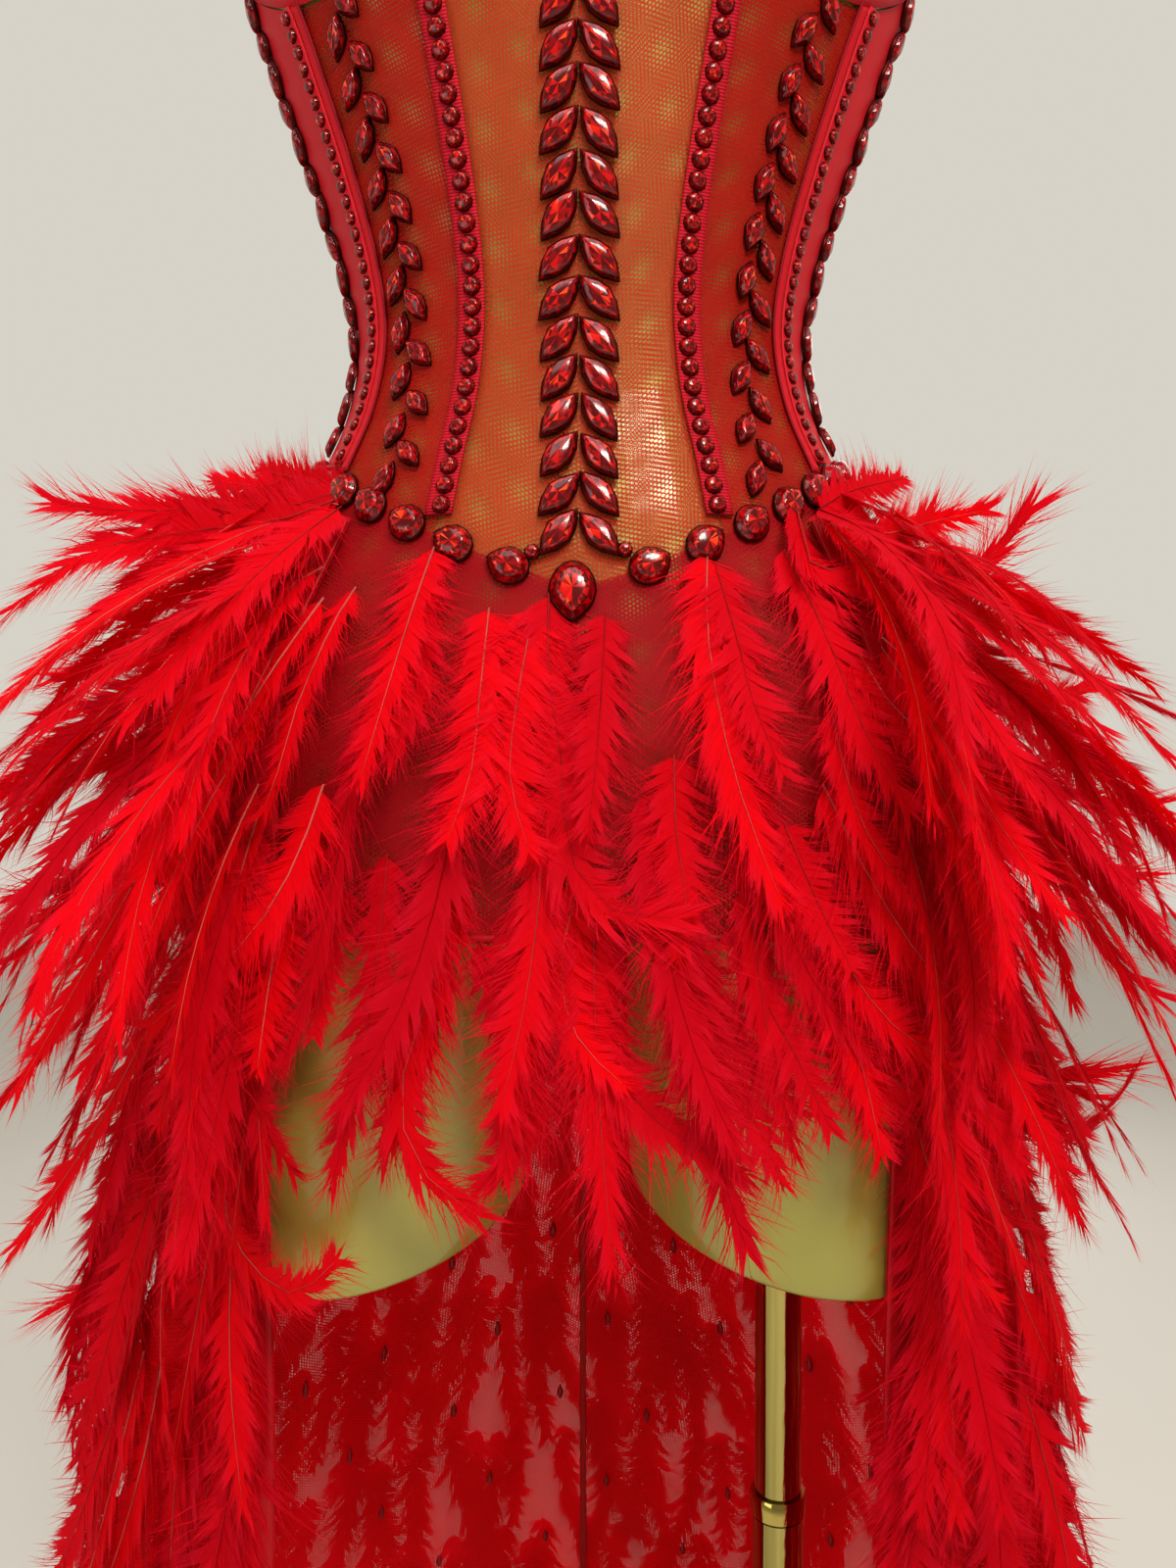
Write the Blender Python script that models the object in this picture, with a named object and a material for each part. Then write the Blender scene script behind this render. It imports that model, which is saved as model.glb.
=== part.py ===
"""A strapless corset stage dress with a feathered train, on a limbless dress form with its stand.

Metres, +Z up, floor at z = 0 under the middle of the base plate. The front of the dress faces -Y.
Left and right are as seen from the front: left is -X, right is +X.
An angle round the body is 0 at centre front, 90 at the right side and 180 at centre back.
"""

import math

import bmesh
import bpy
from mathutils import Vector

# Cloth
WALL = 0.0012
SEAM = 0.0003
EDGE_GAP = 0.0008
CUP_WALL = 0.0020
FORM_CLEAR = 0.0012
TRIM_CLEAR = 0.0012
BAND_CLEAR = 0.0005
ROW_CLEAR = 0.0007
LAYER_CLEAR = 0.0010

# Heights of the dress
CENTRE_POINT_Z = 0.951
SIDE_WAIST_Z = 1.022
WAIST_POINT_POWER = 1.2
FRONT_HEM_Z = 0.790
FRONT_HEM_RISE = 0.004
CUP_SEAM_HIGH_Z = 1.285
CUP_SEAM_DROP = 0.055
CUP_TOP_Z = 1.325
CUP_PEAK = 0.070
BACK_TOP_Z = 1.270

# Angles of the corset's seams
CASING_FRONT_DEG = 25.0
CASING_SIDE_DEG = 59.0
SIDE_SEAM_DEG = 88.0
CUP_START_DEG = 5.0
SEAM_HALF_DEG = 0.10
CLOSURE_HALF_DEG = 4.0

# Boned casings and stones
CASING_FRONT_WIDTH = 0.0125
CASING_SIDE_WIDTH = 0.0085
CASING_THICK = 0.0012
STONE_CLEAR = 0.0015
ROUND_PITCH = 0.0106
ROUND_RAISE = 0.0022
MARQUISE_RAISE = 0.0040
PEAR_RAISE = 0.0050
CENTRE_ROWS = 17
CENTRE_WIDTH = 0.043
CENTRE_SLANT = 0.009
GARLAND_STONES = 20
GARLAND_WIDTH = 0.011
GARLAND_SWING = 0.0055
GARLAND_TOP_DEG = 44.0
GARLAND_BOTTOM_DEG = 37.0
GARLAND_RADIUS = 0.110
SIDE_STONES = 13
SIDE_STONE_WIDTH = 0.010
SIDE_STONES_DEG = 78.0
PEARS_EACH_SIDE = 7
PEAR_BAND = 0.016
PEAR_REACH_DEG = 76.0
DROP_TILT = 0.0014
DROP_LENGTH = 0.028
DROP_HALF_DEG = 5.5
BORDER_SHARE = 0.22
NARROW_BORDER = 0.0018
CENTRE_BORDER = 0.0022
PEAR_BORDER = 0.0024
CENTRE_END = 0.006

# Skirt and train
SKIRT_SIDE_DEG = 92.0
SKIRT_FLARE_SIDE = 0.026
SKIRT_FLARE_FRONT = 0.012
SKIRT_FLARE_BACK = 0.020
FLARE_DEPTH = 0.090
HIP_Z = 0.875
TRAIN_FOLDS = 11
TRAIN_FOLD_DEPTH = 0.011
FOLD_START_Z = 0.860
TRAIN_COLUMNS = 48
TRAIN_EDGE_SHARE = 0.012
TRAIN_BLEND = 0.060
TRAIN_OUT = WALL + LAYER_CLEAR + FORM_CLEAR
GORES = ("side_left", "back_left", "back_right", "side_right")
GORE_GAP_SHARE = 0.00025

# Feathers
STRIP_HEIGHT = 0.007
STRIP_THICK = 0.0015
LOCK_FILL = 0.86
LOCK_SWAY = 0.08
LENGTH_SWING = 0.12
LOCK_THICK = 0.0045
LOCK_LEAN_DEG = 15.0
LOCK_LEAN_STEP_DEG = 4.0
SIDE_SPLAY_DEG = 48.0
SPLAY_STEP = 0.13

# Form and stand
FORM_COLUMNS = 32
FORM_FINE = (1.00, 1.40)
FORM_BUST_SHARE = 0.85
THIGH_COLUMNS = 18
NECK_COLUMNS = 18
TUBE_SIDES = 16
BASE_SIDES = 36
EDGE_ROUND = 0.003
RING_ROUND = 0.001
TUBE_LIFT = 0.002
STUB_CUT_Z = 0.640
STUB_CUT_SLOPE_X = 0.20
STUB_CUT_SLOPE_Y = 0.22
POLE_X = 0.107
UPPER_TUBE_RADIUS = 0.0125
LOWER_TUBE_RADIUS = 0.0140
RING_RADIUS = 0.0150
RING_HEIGHT = 0.012
RING_Z = 0.478
SOCKET_DEPTH = 0.070
BASE_RADIUS = 0.175
BASE_THICK = 0.008
BOSS_RADIUS = 0.024
BOSS_HEIGHT = 0.030

# Sections of the form: z, half_width, front, back
BODY = (
    (0.800, 0.178, 0.090, 0.106),
    (0.835, 0.180, 0.101, 0.120),
    (0.875, 0.177, 0.106, 0.125),
    (0.920, 0.170, 0.104, 0.119),
    (0.965, 0.158, 0.099, 0.107),
    (1.010, 0.140, 0.092, 0.094),
    (1.045, 0.123, 0.087, 0.087),
    (1.080, 0.1155, 0.086, 0.084),
    (1.115, 0.120, 0.088, 0.084),
    (1.160, 0.134, 0.092, 0.087),
    (1.210, 0.152, 0.097, 0.091),
    (1.265, 0.169, 0.101, 0.095),
    (1.320, 0.172, 0.104, 0.098),
    (1.370, 0.168, 0.098, 0.100),
    (1.415, 0.164, 0.086, 0.096),
    (1.450, 0.142, 0.073, 0.084),
    (1.475, 0.100, 0.062, 0.068),
    (1.492, 0.070, 0.054, 0.058),
    (1.512, 0.056, 0.050, 0.052),
    (1.545, 0.052, 0.050, 0.050),
)
BUST = {"angle": 35.0, "z": 1.312, "raise": 0.030, "spread_deg": 19.0, "spread_z": 0.045}

# Sections of each thigh stub: z, centre_x, half_width, half_depth
THIGH = (
    (0.880, 0.098, 0.050, 0.060),
    (0.845, 0.102, 0.070, 0.082),
    (0.805, 0.105, 0.079, 0.088),
    (0.760, 0.1065, 0.0812, 0.090),
    (0.710, 0.107, 0.0818, 0.089),
)
# The slanting lower end of a stub, whose height is worked out
STUB_END = (None, 0.107, 0.0808, 0.087)
# Rings of the neck cap: height above the neck, growth of the neck's oval
NECK_CAP = ((SEAM, 0.002), (0.004, 0.003), (0.010, 0.001), (0.014, -0.010))

# Sections of the train below the hip: z, half_width, front, back, edge_deg
TRAIN = (
    (0.000, 0.330, 0.078, 0.430, 38.0),
    (0.140, 0.303, 0.080, 0.375, 35.5),
    (0.280, 0.276, 0.083, 0.320, 34.5),
    (0.420, 0.252, 0.088, 0.272, 35.5),
    (0.560, 0.233, 0.096, 0.229, 38.0),
    (0.700, 0.217, 0.110, 0.190, 42.0),
    (0.800, 0.208, 0.123, 0.160, 45.0),
)
# Depths below the waistline seam that skirt and train share
UPPER_STEPS = (0.0, 0.015, 0.040, 0.080, 0.125)

# Rows of feathers on the front skirt: depth below the waistline seam, locks, length, reach_deg,
# splay_deg
FRONT_FEATHERS = (
    (0.022, 8, 0.120, 40.0, 15.0),
    (0.078, 9, 0.135, 40.0, 7.0),
    (0.130, 9, 0.145, 40.0, 0.0),
)
# Rows of feathers on the train: depth below the waistline seam, locks, length, splay_deg
TRAIN_TOP_FEATHERS = (
    (0.014, 11, 0.150, 16.0),
    (0.078, 12, 0.160, 8.0),
    (0.130, 12, 0.165, 2.0),
)
# Rows of feathers lower on the train: z, locks, length
TRAIN_FEATHERS = (
    (0.806, 12, 0.170),
    (0.704, 12, 0.175),
    (0.594, 13, 0.180),
    (0.478, 13, 0.180),
    (0.356, 13, 0.180),
    (0.228, 13, 0.175),
)


def clear_scene():
    for item in list(bpy.data.objects):
        bpy.data.objects.remove(item, do_unlink=True)


def material(name, colour, roughness, metallic=0.0):
    made = bpy.data.materials.new(name)
    made.use_nodes = True
    shader = made.node_tree.nodes["Principled BSDF"]
    shader.inputs["Base Color"].default_value = (*colour, 1.0)
    shader.inputs["Roughness"].default_value = roughness
    shader.inputs["Metallic"].default_value = metallic
    made.diffuse_color = (*colour, 1.0)
    return made


def finish(name, bm, stuff):
    """Turns a bmesh into a named object with outward faces and smooth shading."""
    bmesh.ops.recalc_face_normals(bm, faces=bm.faces[:])
    mesh = bpy.data.meshes.new(name)
    bm.to_mesh(mesh)
    bm.free()
    mesh.shade_smooth()
    mesh.set_sharp_from_angle(angle=math.radians(40.0))
    mesh.materials.append(stuff)
    made = bpy.data.objects.new(name, mesh)
    bpy.context.scene.collection.objects.link(made)
    return made


def spaced(start, end, count):
    return [start + (end - start) * i / count for i in range(count + 1)]


def smooth_step(t):
    t = min(max(t, 0.0), 1.0)
    return t * t * (3.0 - 2.0 * t)


def row_at(table, key):
    """Reads a table's other columns at a key between its rows, on a smooth curve through them."""
    rows = sorted(table)
    key = min(max(key, rows[0][0]), rows[-1][0])
    i = 0
    while i < len(rows) - 2 and key > rows[i + 1][0]:
        i += 1
    low, high = rows[i], rows[i + 1]
    before, after = rows[max(i - 1, 0)], rows[min(i + 2, len(rows) - 1)]
    step = high[0] - low[0]
    t = (key - low[0]) / step
    values = []
    for c in range(1, len(low)):
        slope_low = (high[c] - before[c]) / (high[0] - before[0]) * step
        slope_high = (after[c] - low[c]) / (after[0] - low[0]) * step
        values.append(
            (2 * t**3 - 3 * t**2 + 1) * low[c]
            + (t**3 - 2 * t**2 + t) * slope_low
            + (3 * t**2 - 2 * t**3) * high[c]
            + (t**3 - t**2) * slope_high
        )
    return values


def on_oval(angle, z, half_width, front, back, out):
    """A point on an oval section, moved out along the oval's own normal."""
    turn = math.radians(angle)
    depth = front if math.cos(turn) >= 0.0 else back
    point = Vector((half_width * math.sin(turn), -depth * math.cos(turn), z))
    normal = Vector((depth * math.sin(turn), -half_width * math.cos(turn), 0.0)).normalized()
    return point + normal * out


def bust_raise(angle, z, share=1.0):
    off_angle = (abs(angle) - BUST["angle"]) / BUST["spread_deg"]
    off_z = (z - BUST["z"]) / BUST["spread_z"]
    return share * BUST["raise"] * math.exp(-0.5 * (off_angle**2 + off_z**2))


def on_body(angle, z, out, bust_share=1.0):
    half_width, front, back = row_at(BODY, z)
    return on_oval(angle, z, half_width, front, back, out + bust_raise(angle, z, bust_share))


def arc_deg(angle, z, width):
    """The angle that a width along the body's surface takes up."""
    half_width, front, back = row_at(BODY, z)
    turn = math.radians(angle)
    depth = front if math.cos(turn) >= 0.0 else back
    return math.degrees(width / math.hypot(half_width * math.cos(turn), depth * math.sin(turn)))


def waist_seam_z(angle):
    turn = math.radians(min(abs(angle), 90.0))
    rise = (SIDE_WAIST_Z - CENTRE_POINT_Z) * math.sin(turn) ** WAIST_POINT_POWER
    return CENTRE_POINT_Z + rise


def cup_seam_z(angle):
    share = (abs(angle) - CUP_START_DEG) / (SIDE_SEAM_DEG - CUP_START_DEG)
    share = min(max(share, 0.0), 1.0)
    return CUP_SEAM_HIGH_Z - CUP_SEAM_DROP * math.sin(math.pi * share)


def cup_top_z(angle):
    share = (abs(angle) - CUP_START_DEG) / (SIDE_SEAM_DEG - CUP_START_DEG)
    start = CUP_SEAM_HIGH_Z + 0.012
    return start + (CUP_TOP_Z - start) * share + CUP_PEAK * math.sin(math.pi * share) ** 0.8


def back_top_z(angle):
    share = smooth_step((abs(angle) - SIDE_SEAM_DEG) / (180.0 - SIDE_SEAM_DEG))
    return CUP_TOP_Z + (BACK_TOP_Z - CUP_TOP_Z) * share


def wall_mesh(us, vs, place):
    """A closed cloth wall: place(u, v, side) gives its inner (0) and outer (1) points."""
    bm = bmesh.new()
    at_u = bm.verts.layers.float.new("u")
    at_v = bm.verts.layers.float.new("v")
    grid = []
    for u in us:
        line = []
        for v in vs:
            vert = bm.verts.new(place(u, v, 0))
            vert[at_u] = u
            vert[at_v] = v
            line.append(vert)
        grid.append(line)
    for i in range(len(us) - 1):
        for j in range(len(vs) - 1):
            bm.faces.new((grid[i][j], grid[i + 1][j], grid[i + 1][j + 1], grid[i][j + 1]))
    moved = bmesh.ops.extrude_face_region(bm, geom=bm.faces[:])["geom"]
    outer_verts = {item for item in moved if isinstance(item, bmesh.types.BMVert)}
    for vert in outer_verts:
        vert.co = place(vert[at_u], vert[at_v], 1)
    bm.normal_update()
    bmesh.ops.recalc_face_normals(bm, faces=bm.faces[:])
    outer = [f for f in bm.faces if all(v in outer_verts for v in f.verts)]
    return bm, outer, at_u, at_v


def wall(name, us, vs, place, stuff):
    bm = wall_mesh(us, vs, place)[0]
    return finish(name, bm, stuff)


def corset_panel(name, start, end, columns, rows, low, high, stuff):
    """A corset panel between two seam angles, from its lower to its upper edge."""

    def place(angle, v, side):
        z = low(angle) + (high(angle) - low(angle)) * v
        return on_body(angle, z, FORM_CLEAR + WALL * side)

    wall(name, spaced(start, end, columns), spaced(0.0, 1.0, rows), place, stuff)


def corset(mesh_cloth, satin):
    def below_cups(angle):
        return cup_seam_z(angle) - EDGE_GAP

    gap = SEAM_HALF_DEG
    front = CASING_FRONT_DEG - gap
    corset_panel("panel_centre_front", -front, front, 8, 10, waist_seam_z, below_cups, mesh_cloth)
    for side, sign in (("left", -1), ("right", 1)):
        near = sign * (CASING_FRONT_DEG + gap)
        middle = sign * CASING_SIDE_DEG
        far = sign * SIDE_SEAM_DEG
        corset_panel(
            f"panel_side_front_{side}", near, middle - sign * gap, 6, 10,
            waist_seam_z, below_cups, mesh_cloth,
        )
        corset_panel(
            f"panel_side_{side}", middle + sign * gap, far - sign * gap, 5, 10,
            waist_seam_z, below_cups, satin,
        )
        corset_panel(
            f"panel_back_{side}", far + sign * gap, sign * (180.0 - gap), 9, 10,
            waist_seam_z, back_top_z, mesh_cloth,
        )
        cup(f"cup_{side}", sign, satin)


def cup(name, sign, stuff):
    """A moulded cup between the curved under-cup seam and the top edge."""

    def place(angle, v, side):
        low, high = cup_seam_z(angle), cup_top_z(angle)
        z = low + (high - low) * v
        return on_body(angle, z, FORM_CLEAR + LAYER_CLEAR * 0.5 + CUP_WALL * side)

    angles = spaced(sign * CUP_START_DEG, sign * (SIDE_SEAM_DEG - SEAM_HALF_DEG), 11)
    wall(name, angles, spaced(0.0, 1.0, 4), place, stuff)


def back_closure(stuff):
    """The plain placket that covers the closing at centre back."""

    def place(angle, v, side):
        low, high = waist_seam_z(angle), back_top_z(angle)
        z = low + (high - low) * v
        return on_body(angle, z, FORM_CLEAR + WALL + TRIM_CLEAR + WALL * side)

    angles = [180.0 - CLOSURE_HALF_DEG, 180.0, 180.0 + CLOSURE_HALF_DEG]
    wall("back_closure", angles, spaced(0.0, 1.0, 11), place, stuff)


def raise_stones(bm, faces, border, height):
    bmesh.ops.inset_individual(
        bm, faces=faces, thickness=border, depth=height, use_even_offset=True
    )


def stone_strip(name, cells, centre_deg, width, low, high, thick, border, height, stuff):
    """A narrow strip up the corset with one raised stone in each of its cells."""

    def place(across, v, side):
        angle = centre_deg(v)
        angle += arc_deg(angle, low(angle) + (high(angle) - low(angle)) * v, across * width)
        z = low(angle) + (high(angle) - low(angle)) * v
        return on_body(angle, z, FORM_CLEAR + WALL + TRIM_CLEAR + thick * side)

    bm, outer, _, _ = wall_mesh([-0.5, 0.5], spaced(0.0, 1.0, cells), place)
    raise_stones(bm, outer, border, height)
    finish(name, bm, stuff)


def above_waistline(angle):
    return waist_seam_z(angle) + PEAR_BAND * 0.5 + STONE_CLEAR


def under_cups(angle):
    return cup_seam_z(angle) - STONE_CLEAR


def casings(tape):
    for side, sign in (("left", -1), ("right", 1)):
        for place_name, angle, width in (
            ("front", sign * CASING_FRONT_DEG, CASING_FRONT_WIDTH),
            ("side", sign * CASING_SIDE_DEG, CASING_SIDE_WIDTH),
        ):
            length = under_cups(angle) - above_waistline(angle)
            stone_strip(
                f"casing_{place_name}_{side}", round(length / ROUND_PITCH),
                lambda v, fixed=angle: fixed, width, above_waistline, under_cups,
                CASING_THICK, width * BORDER_SHARE, ROUND_RAISE, tape,
            )


def centre_stones(stuff):
    """Two columns of slanted marquise stones that meet in a row of points up the centre front."""
    low = waist_seam_z(0.0) + DROP_LENGTH * 0.5 + CENTRE_SLANT + CENTRE_END
    high = cup_seam_z(0.0) - CENTRE_END

    def place(across, v, side):
        z = low + (high - low) * v - CENTRE_SLANT * abs(across) * 2.0
        angle = arc_deg(0.0, z, across * CENTRE_WIDTH)
        return on_body(angle, z, FORM_CLEAR + WALL + TRIM_CLEAR + CASING_THICK * side)

    bm, outer, _, _ = wall_mesh([-0.5, 0.0, 0.5], spaced(0.0, 1.0, CENTRE_ROWS), place)
    raise_stones(bm, outer, CENTRE_BORDER, MARQUISE_RAISE)
    finish("stones_centre_front", bm, stuff)


def garland_angle(sign):
    def angle(v):
        middle = GARLAND_BOTTOM_DEG + (GARLAND_TOP_DEG - GARLAND_BOTTOM_DEG) * smooth_step(v * 2.5)
        step = round(v * GARLAND_STONES)
        swing = GARLAND_SWING if step % 2 else -GARLAND_SWING
        return sign * (middle + math.degrees(swing / GARLAND_RADIUS))

    return angle


def garlands(stuff):
    for side, sign in (("left", -1), ("right", 1)):
        stone_strip(
            f"stones_garland_{side}", GARLAND_STONES, garland_angle(sign), GARLAND_WIDTH,
            above_waistline, under_cups, CASING_THICK, NARROW_BORDER, MARQUISE_RAISE, stuff,
        )
        angle = sign * SIDE_STONES_DEG
        stone_strip(
            f"stones_side_{side}", SIDE_STONES, lambda v, fixed=angle: fixed, SIDE_STONE_WIDTH,
            above_waistline, under_cups, CASING_THICK, NARROW_BORDER, MARQUISE_RAISE, stuff,
        )


def waistline_stones(stuff):
    """Pear stones along the pointed waistline, with one large drop at its point."""
    pears_start = DROP_HALF_DEG + 1.0
    right = [DROP_HALF_DEG] + spaced(pears_start, PEAR_REACH_DEG, PEARS_EACH_SIDE)
    angles = [-a for a in reversed(right)] + right

    def place(angle, v, side):
        reach = DROP_LENGTH if abs(angle) <= DROP_HALF_DEG else PEAR_BAND
        z = waist_seam_z(angle) + (v - 0.5) * reach
        lift = TRIM_CLEAR + DROP_TILT * (1.0 - v)
        return on_body(angle, z, FORM_CLEAR + WALL + lift + CASING_THICK * side)

    bm, outer, at_u, _ = wall_mesh(angles, [0.0, 1.0], place)
    stones = []
    for face in outer:
        reach = [v[at_u] for v in face.verts]
        if max(reach) - min(reach) > 2.0:
            stones.append(face)
    raise_stones(bm, stones, PEAR_BORDER, PEAR_RAISE)
    finish("stones_waistline", bm, stuff)


def skirt_point(angle, z, out):
    """The flared surface from the waistline seam over the hips, hanging straight below them."""
    half_width, front, back = row_at(BODY, max(z, HIP_Z))
    turn = math.radians(angle)
    facing = -math.cos(turn)
    flare = SKIRT_FLARE_SIDE * math.sin(turn) ** 2
    flare += (SKIRT_FLARE_BACK if facing > 0.0 else SKIRT_FLARE_FRONT) * facing**2
    drop = waist_seam_z(angle) - z
    return on_oval(angle, z, half_width, front, back, flare * smooth_step(drop / FLARE_DEPTH) + out)


def skirt(stuff):
    levels = len(UPPER_STEPS)

    def place(angle, v, side):
        if v < levels:
            z = waist_seam_z(angle) - EDGE_GAP - UPPER_STEPS[int(round(v))]
        else:
            z = FRONT_HEM_Z + FRONT_HEM_RISE * math.cos(math.radians(angle)) ** 2
        return skirt_point(angle, z, FORM_CLEAR + WALL * side)

    angles = spaced(-SKIRT_SIDE_DEG, SKIRT_SIDE_DEG, 20)
    wall("skirt_front", angles, list(range(levels + 1)), place, stuff)


def fold_growth(z):
    """Folds start below the hip and grow to their full depth at the floor."""
    return smooth_step((FOLD_START_Z - z) / FOLD_START_Z) ** 0.7


def fold(share, z):
    """How far a fold of the train stands out at a share of the way round it."""
    wave = math.sin(2.0 * math.pi * (TRAIN_FOLDS * share + 0.13 * math.sin(7.0 * share + 1.0)))
    uneven = 0.72 + 0.28 * math.sin(9.4 * share + 2.0)
    return TRAIN_FOLD_DEPTH * fold_growth(z) * uneven * wave


def crest(z):
    """How far the highest fold stands out at a height."""
    return max(fold(share, z) for share in train_shares())


def train_shares():
    inner = spaced(TRAIN_EDGE_SHARE, 1.0 - TRAIN_EDGE_SHARE, TRAIN_COLUMNS)
    return [0.0] + inner + [1.0]


def train_point(share, z, out, folded=True):
    """A point on the train, from its left front edge (share 0) round the back to its right (1)."""
    half_width, front, back, edge = row_at(TRAIN, min(z, TRAIN[-1][0]))
    angle = -edge - (360.0 - 2.0 * edge) * share
    out += fold(share, z) if folded else 0.0
    low = on_oval(angle, z, half_width, front, back, out)
    above = z - (TRAIN[-1][0] - TRAIN_BLEND)
    if above <= 0.0:
        return low
    high = skirt_point((angle + 180.0) % 360.0 - 180.0, z, TRAIN_OUT + out)
    return low.lerp(high, smooth_step(above / TRAIN_BLEND))


def train_angle(share):
    edge = TRAIN[-1][4]
    return (-edge - (360.0 - 2.0 * edge) * share + 180.0) % 360.0 - 180.0


def train_level(share, level):
    """The height of one of the train's rows: a step below the waistline, or a table row."""
    if level < len(UPPER_STEPS):
        angle = train_angle(share)
        step = UPPER_STEPS[int(round(level))]
        under_stones = 1.0 - smooth_step((abs(angle) - PEAR_REACH_DEG) / 10.0)
        step = max(step, (PEAR_BAND * 0.5 + STONE_CLEAR) * under_stones)
        return waist_seam_z(angle) - EDGE_GAP - step
    rows = list(reversed(TRAIN))
    return rows[int(round(level)) - len(UPPER_STEPS)][0]


def train(stuff, band_cloth):
    """The train's four gores, sewn side by side, and the turned bands down its front edges."""
    levels = list(range(len(UPPER_STEPS) + len(TRAIN)))

    def place(share, level, side):
        return train_point(share, train_level(share, level), WALL * side)

    shares = train_shares()
    for number, name in enumerate(GORES):
        start, end = number / len(GORES), (number + 1) / len(GORES)
        low = start + GORE_GAP_SHARE if number else start
        high = end - GORE_GAP_SHARE if number < len(GORES) - 1 else end
        middle = [s for s in shares if start + 0.001 < s < end - 0.001]
        wall(f"train_{name}", [low] + middle + [high], levels, place, stuff)

    def band_place(share, level, side):
        out = WALL + BAND_CLEAR + WALL * side
        return train_point(share, train_level(share, level), out)

    wall("train_band_left", shares[:3], levels, band_place, band_cloth)
    wall("train_band_right", shares[-3:], levels, band_place, band_cloth)


def grow_lock(bm, face, point, along, down, out, length, lean, sway, width):
    """Draws one feather out of a strip's face, as a curved blade that ends in a point."""
    corner = {v: (v.co - point) for v in face.verts}
    signs = {
        v: (1.0 if d.dot(along) > 0.0 else -1.0, 1.0 if d.dot(down) > 0.0 else -1.0)
        for v, d in corner.items()
    }
    order = [signs[v] for v in face.verts]
    for share, wide in ((0.30, 1.0), (0.68, 0.82), (1.0, 0.0)):
        tilt = lean * (1.15 - 0.35 * share)
        heading = down * math.cos(tilt) + out * math.sin(tilt)
        centre = point + heading * (length * share) + along * (sway * length * share**2)
        flat = (out * math.cos(tilt) - down * math.sin(tilt)).normalized()
        grown = bmesh.ops.extrude_discrete_faces(bm, faces=[face])["faces"][0]
        ring = list(grown.verts)
        for vert, (side, level) in zip(ring, order):
            reach = width * 0.5 * wide
            vert.co = centre + along * side * reach - flat * level * LOCK_THICK * 0.5 * (wide > 0.0)
        face = grown
    bmesh.ops.pointmerge(bm, verts=list(face.verts), merge_co=centre)


def feather_row(name, base, hang, shares, locks, length, splay, stuff):
    """A narrow strip with feathers: base(share, lift, out) is a point on what carries it.

    hang(share) is the way that the cloth below it hangs, and splay(share) opens the feathers.
    """
    start, end = shares
    number = sum(ord(letter) for letter in name)
    marks = []
    pitch = (end - start) / locks
    for i in range(locks):
        marks += [start + pitch * (i + 0.32), start + pitch * (i + 0.68)]
    marks = [start] + marks + [end]

    def place(share, v, side):
        return base(share, (v - 0.5) * STRIP_HEIGHT, STRIP_THICK * side)

    bm, outer, at_u, _ = wall_mesh(marks, [0.0, 1.0], place)
    lock_faces = []
    for face in outer:
        middle = sum(v[at_u] for v in face.verts) / len(face.verts)
        cell = (middle - start) / pitch
        if abs(cell % 1.0 - 0.5) < 0.1:
            lock_faces.append((face, middle, int(cell)))
    for face, share, index in lock_faces:
        point = base(share, 0.0, STRIP_THICK)
        along = (base(share + 0.004, 0.0, 0.0) - base(share - 0.004, 0.0, 0.0)).normalized()
        down = hang(share)
        out = base(share, 0.0, 0.01) - base(share, 0.0, 0.0)
        out = (out - down * out.dot(down)).normalized()
        lean = math.radians(LOCK_LEAN_DEG + LOCK_LEAN_STEP_DEG * (index % 2) + splay(share))
        half = pitch * 0.5
        cell_width = (base(share + half, 0.0, 0.0) - base(share - half, 0.0, 0.0)).length
        sway = LOCK_SWAY * math.sin(4.0 * math.pi * (share - start) / (end - start) + number)
        reach = length * (1.0 + LENGTH_SWING * math.sin(index * 2.4 + number))
        grow_lock(bm, face, point, along, down, out, reach, lean, sway, cell_width * LOCK_FILL)
    finish(name, bm, stuff)


def front_feathers(stuff):
    for number, (depth, locks, length, reach, splay) in enumerate(FRONT_FEATHERS, 1):

        def base(angle, lift, out, depth=depth):
            z = waist_seam_z(angle) - depth + lift
            return skirt_point(angle, z, FORM_CLEAR + WALL + ROW_CLEAR + out)

        feather_row(
            f"feathers_front_{number}", base, lambda angle: Vector((0.0, 0.0, -1.0)),
            (-reach, reach), locks, length, lambda angle, fixed=splay: fixed, stuff,
        )


def side_splay(depth_share, least):
    """Feathers stand out at the sides, most of all near the waistline."""

    def splay(share):
        angle = math.radians(train_angle(share))
        return least + (SIDE_SPLAY_DEG - least) * abs(math.sin(angle)) ** 3 * (1.0 - depth_share)

    return splay


def train_hang(share):
    """The straight way that the train hangs, from the hip to the floor."""
    return (train_point(share, 0.0, 0.0, False) - train_point(share, 0.8, 0.0, False)).normalized()


def train_feathers(stuff):
    for number, (depth, locks, length, splay) in enumerate(TRAIN_TOP_FEATHERS, 1):

        def base(share, lift, out, depth=depth):
            z = waist_seam_z(train_angle(share)) - depth + lift
            return train_point(share, z, WALL * 2 + BAND_CLEAR + ROW_CLEAR + out)

        feather_row(
            f"feathers_train_{number:02d}", base, train_hang, (0.004, 0.996), locks, length,
            side_splay(SPLAY_STEP * (number - 1), splay), stuff,
        )
    for number, (level, locks, length) in enumerate(TRAIN_FEATHERS, len(TRAIN_TOP_FEATHERS) + 1):

        def base(share, lift, out, level=level):
            clear = WALL * 2 + BAND_CLEAR + ROW_CLEAR + crest(level)
            return train_point(share, level + lift, clear + out, folded=False)

        feather_row(
            f"feathers_train_{number:02d}", base, train_hang, (0.004, 0.996), locks, length,
            side_splay(min(SPLAY_STEP * (number - 1), 1.0), 0.0), stuff,
        )


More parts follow.
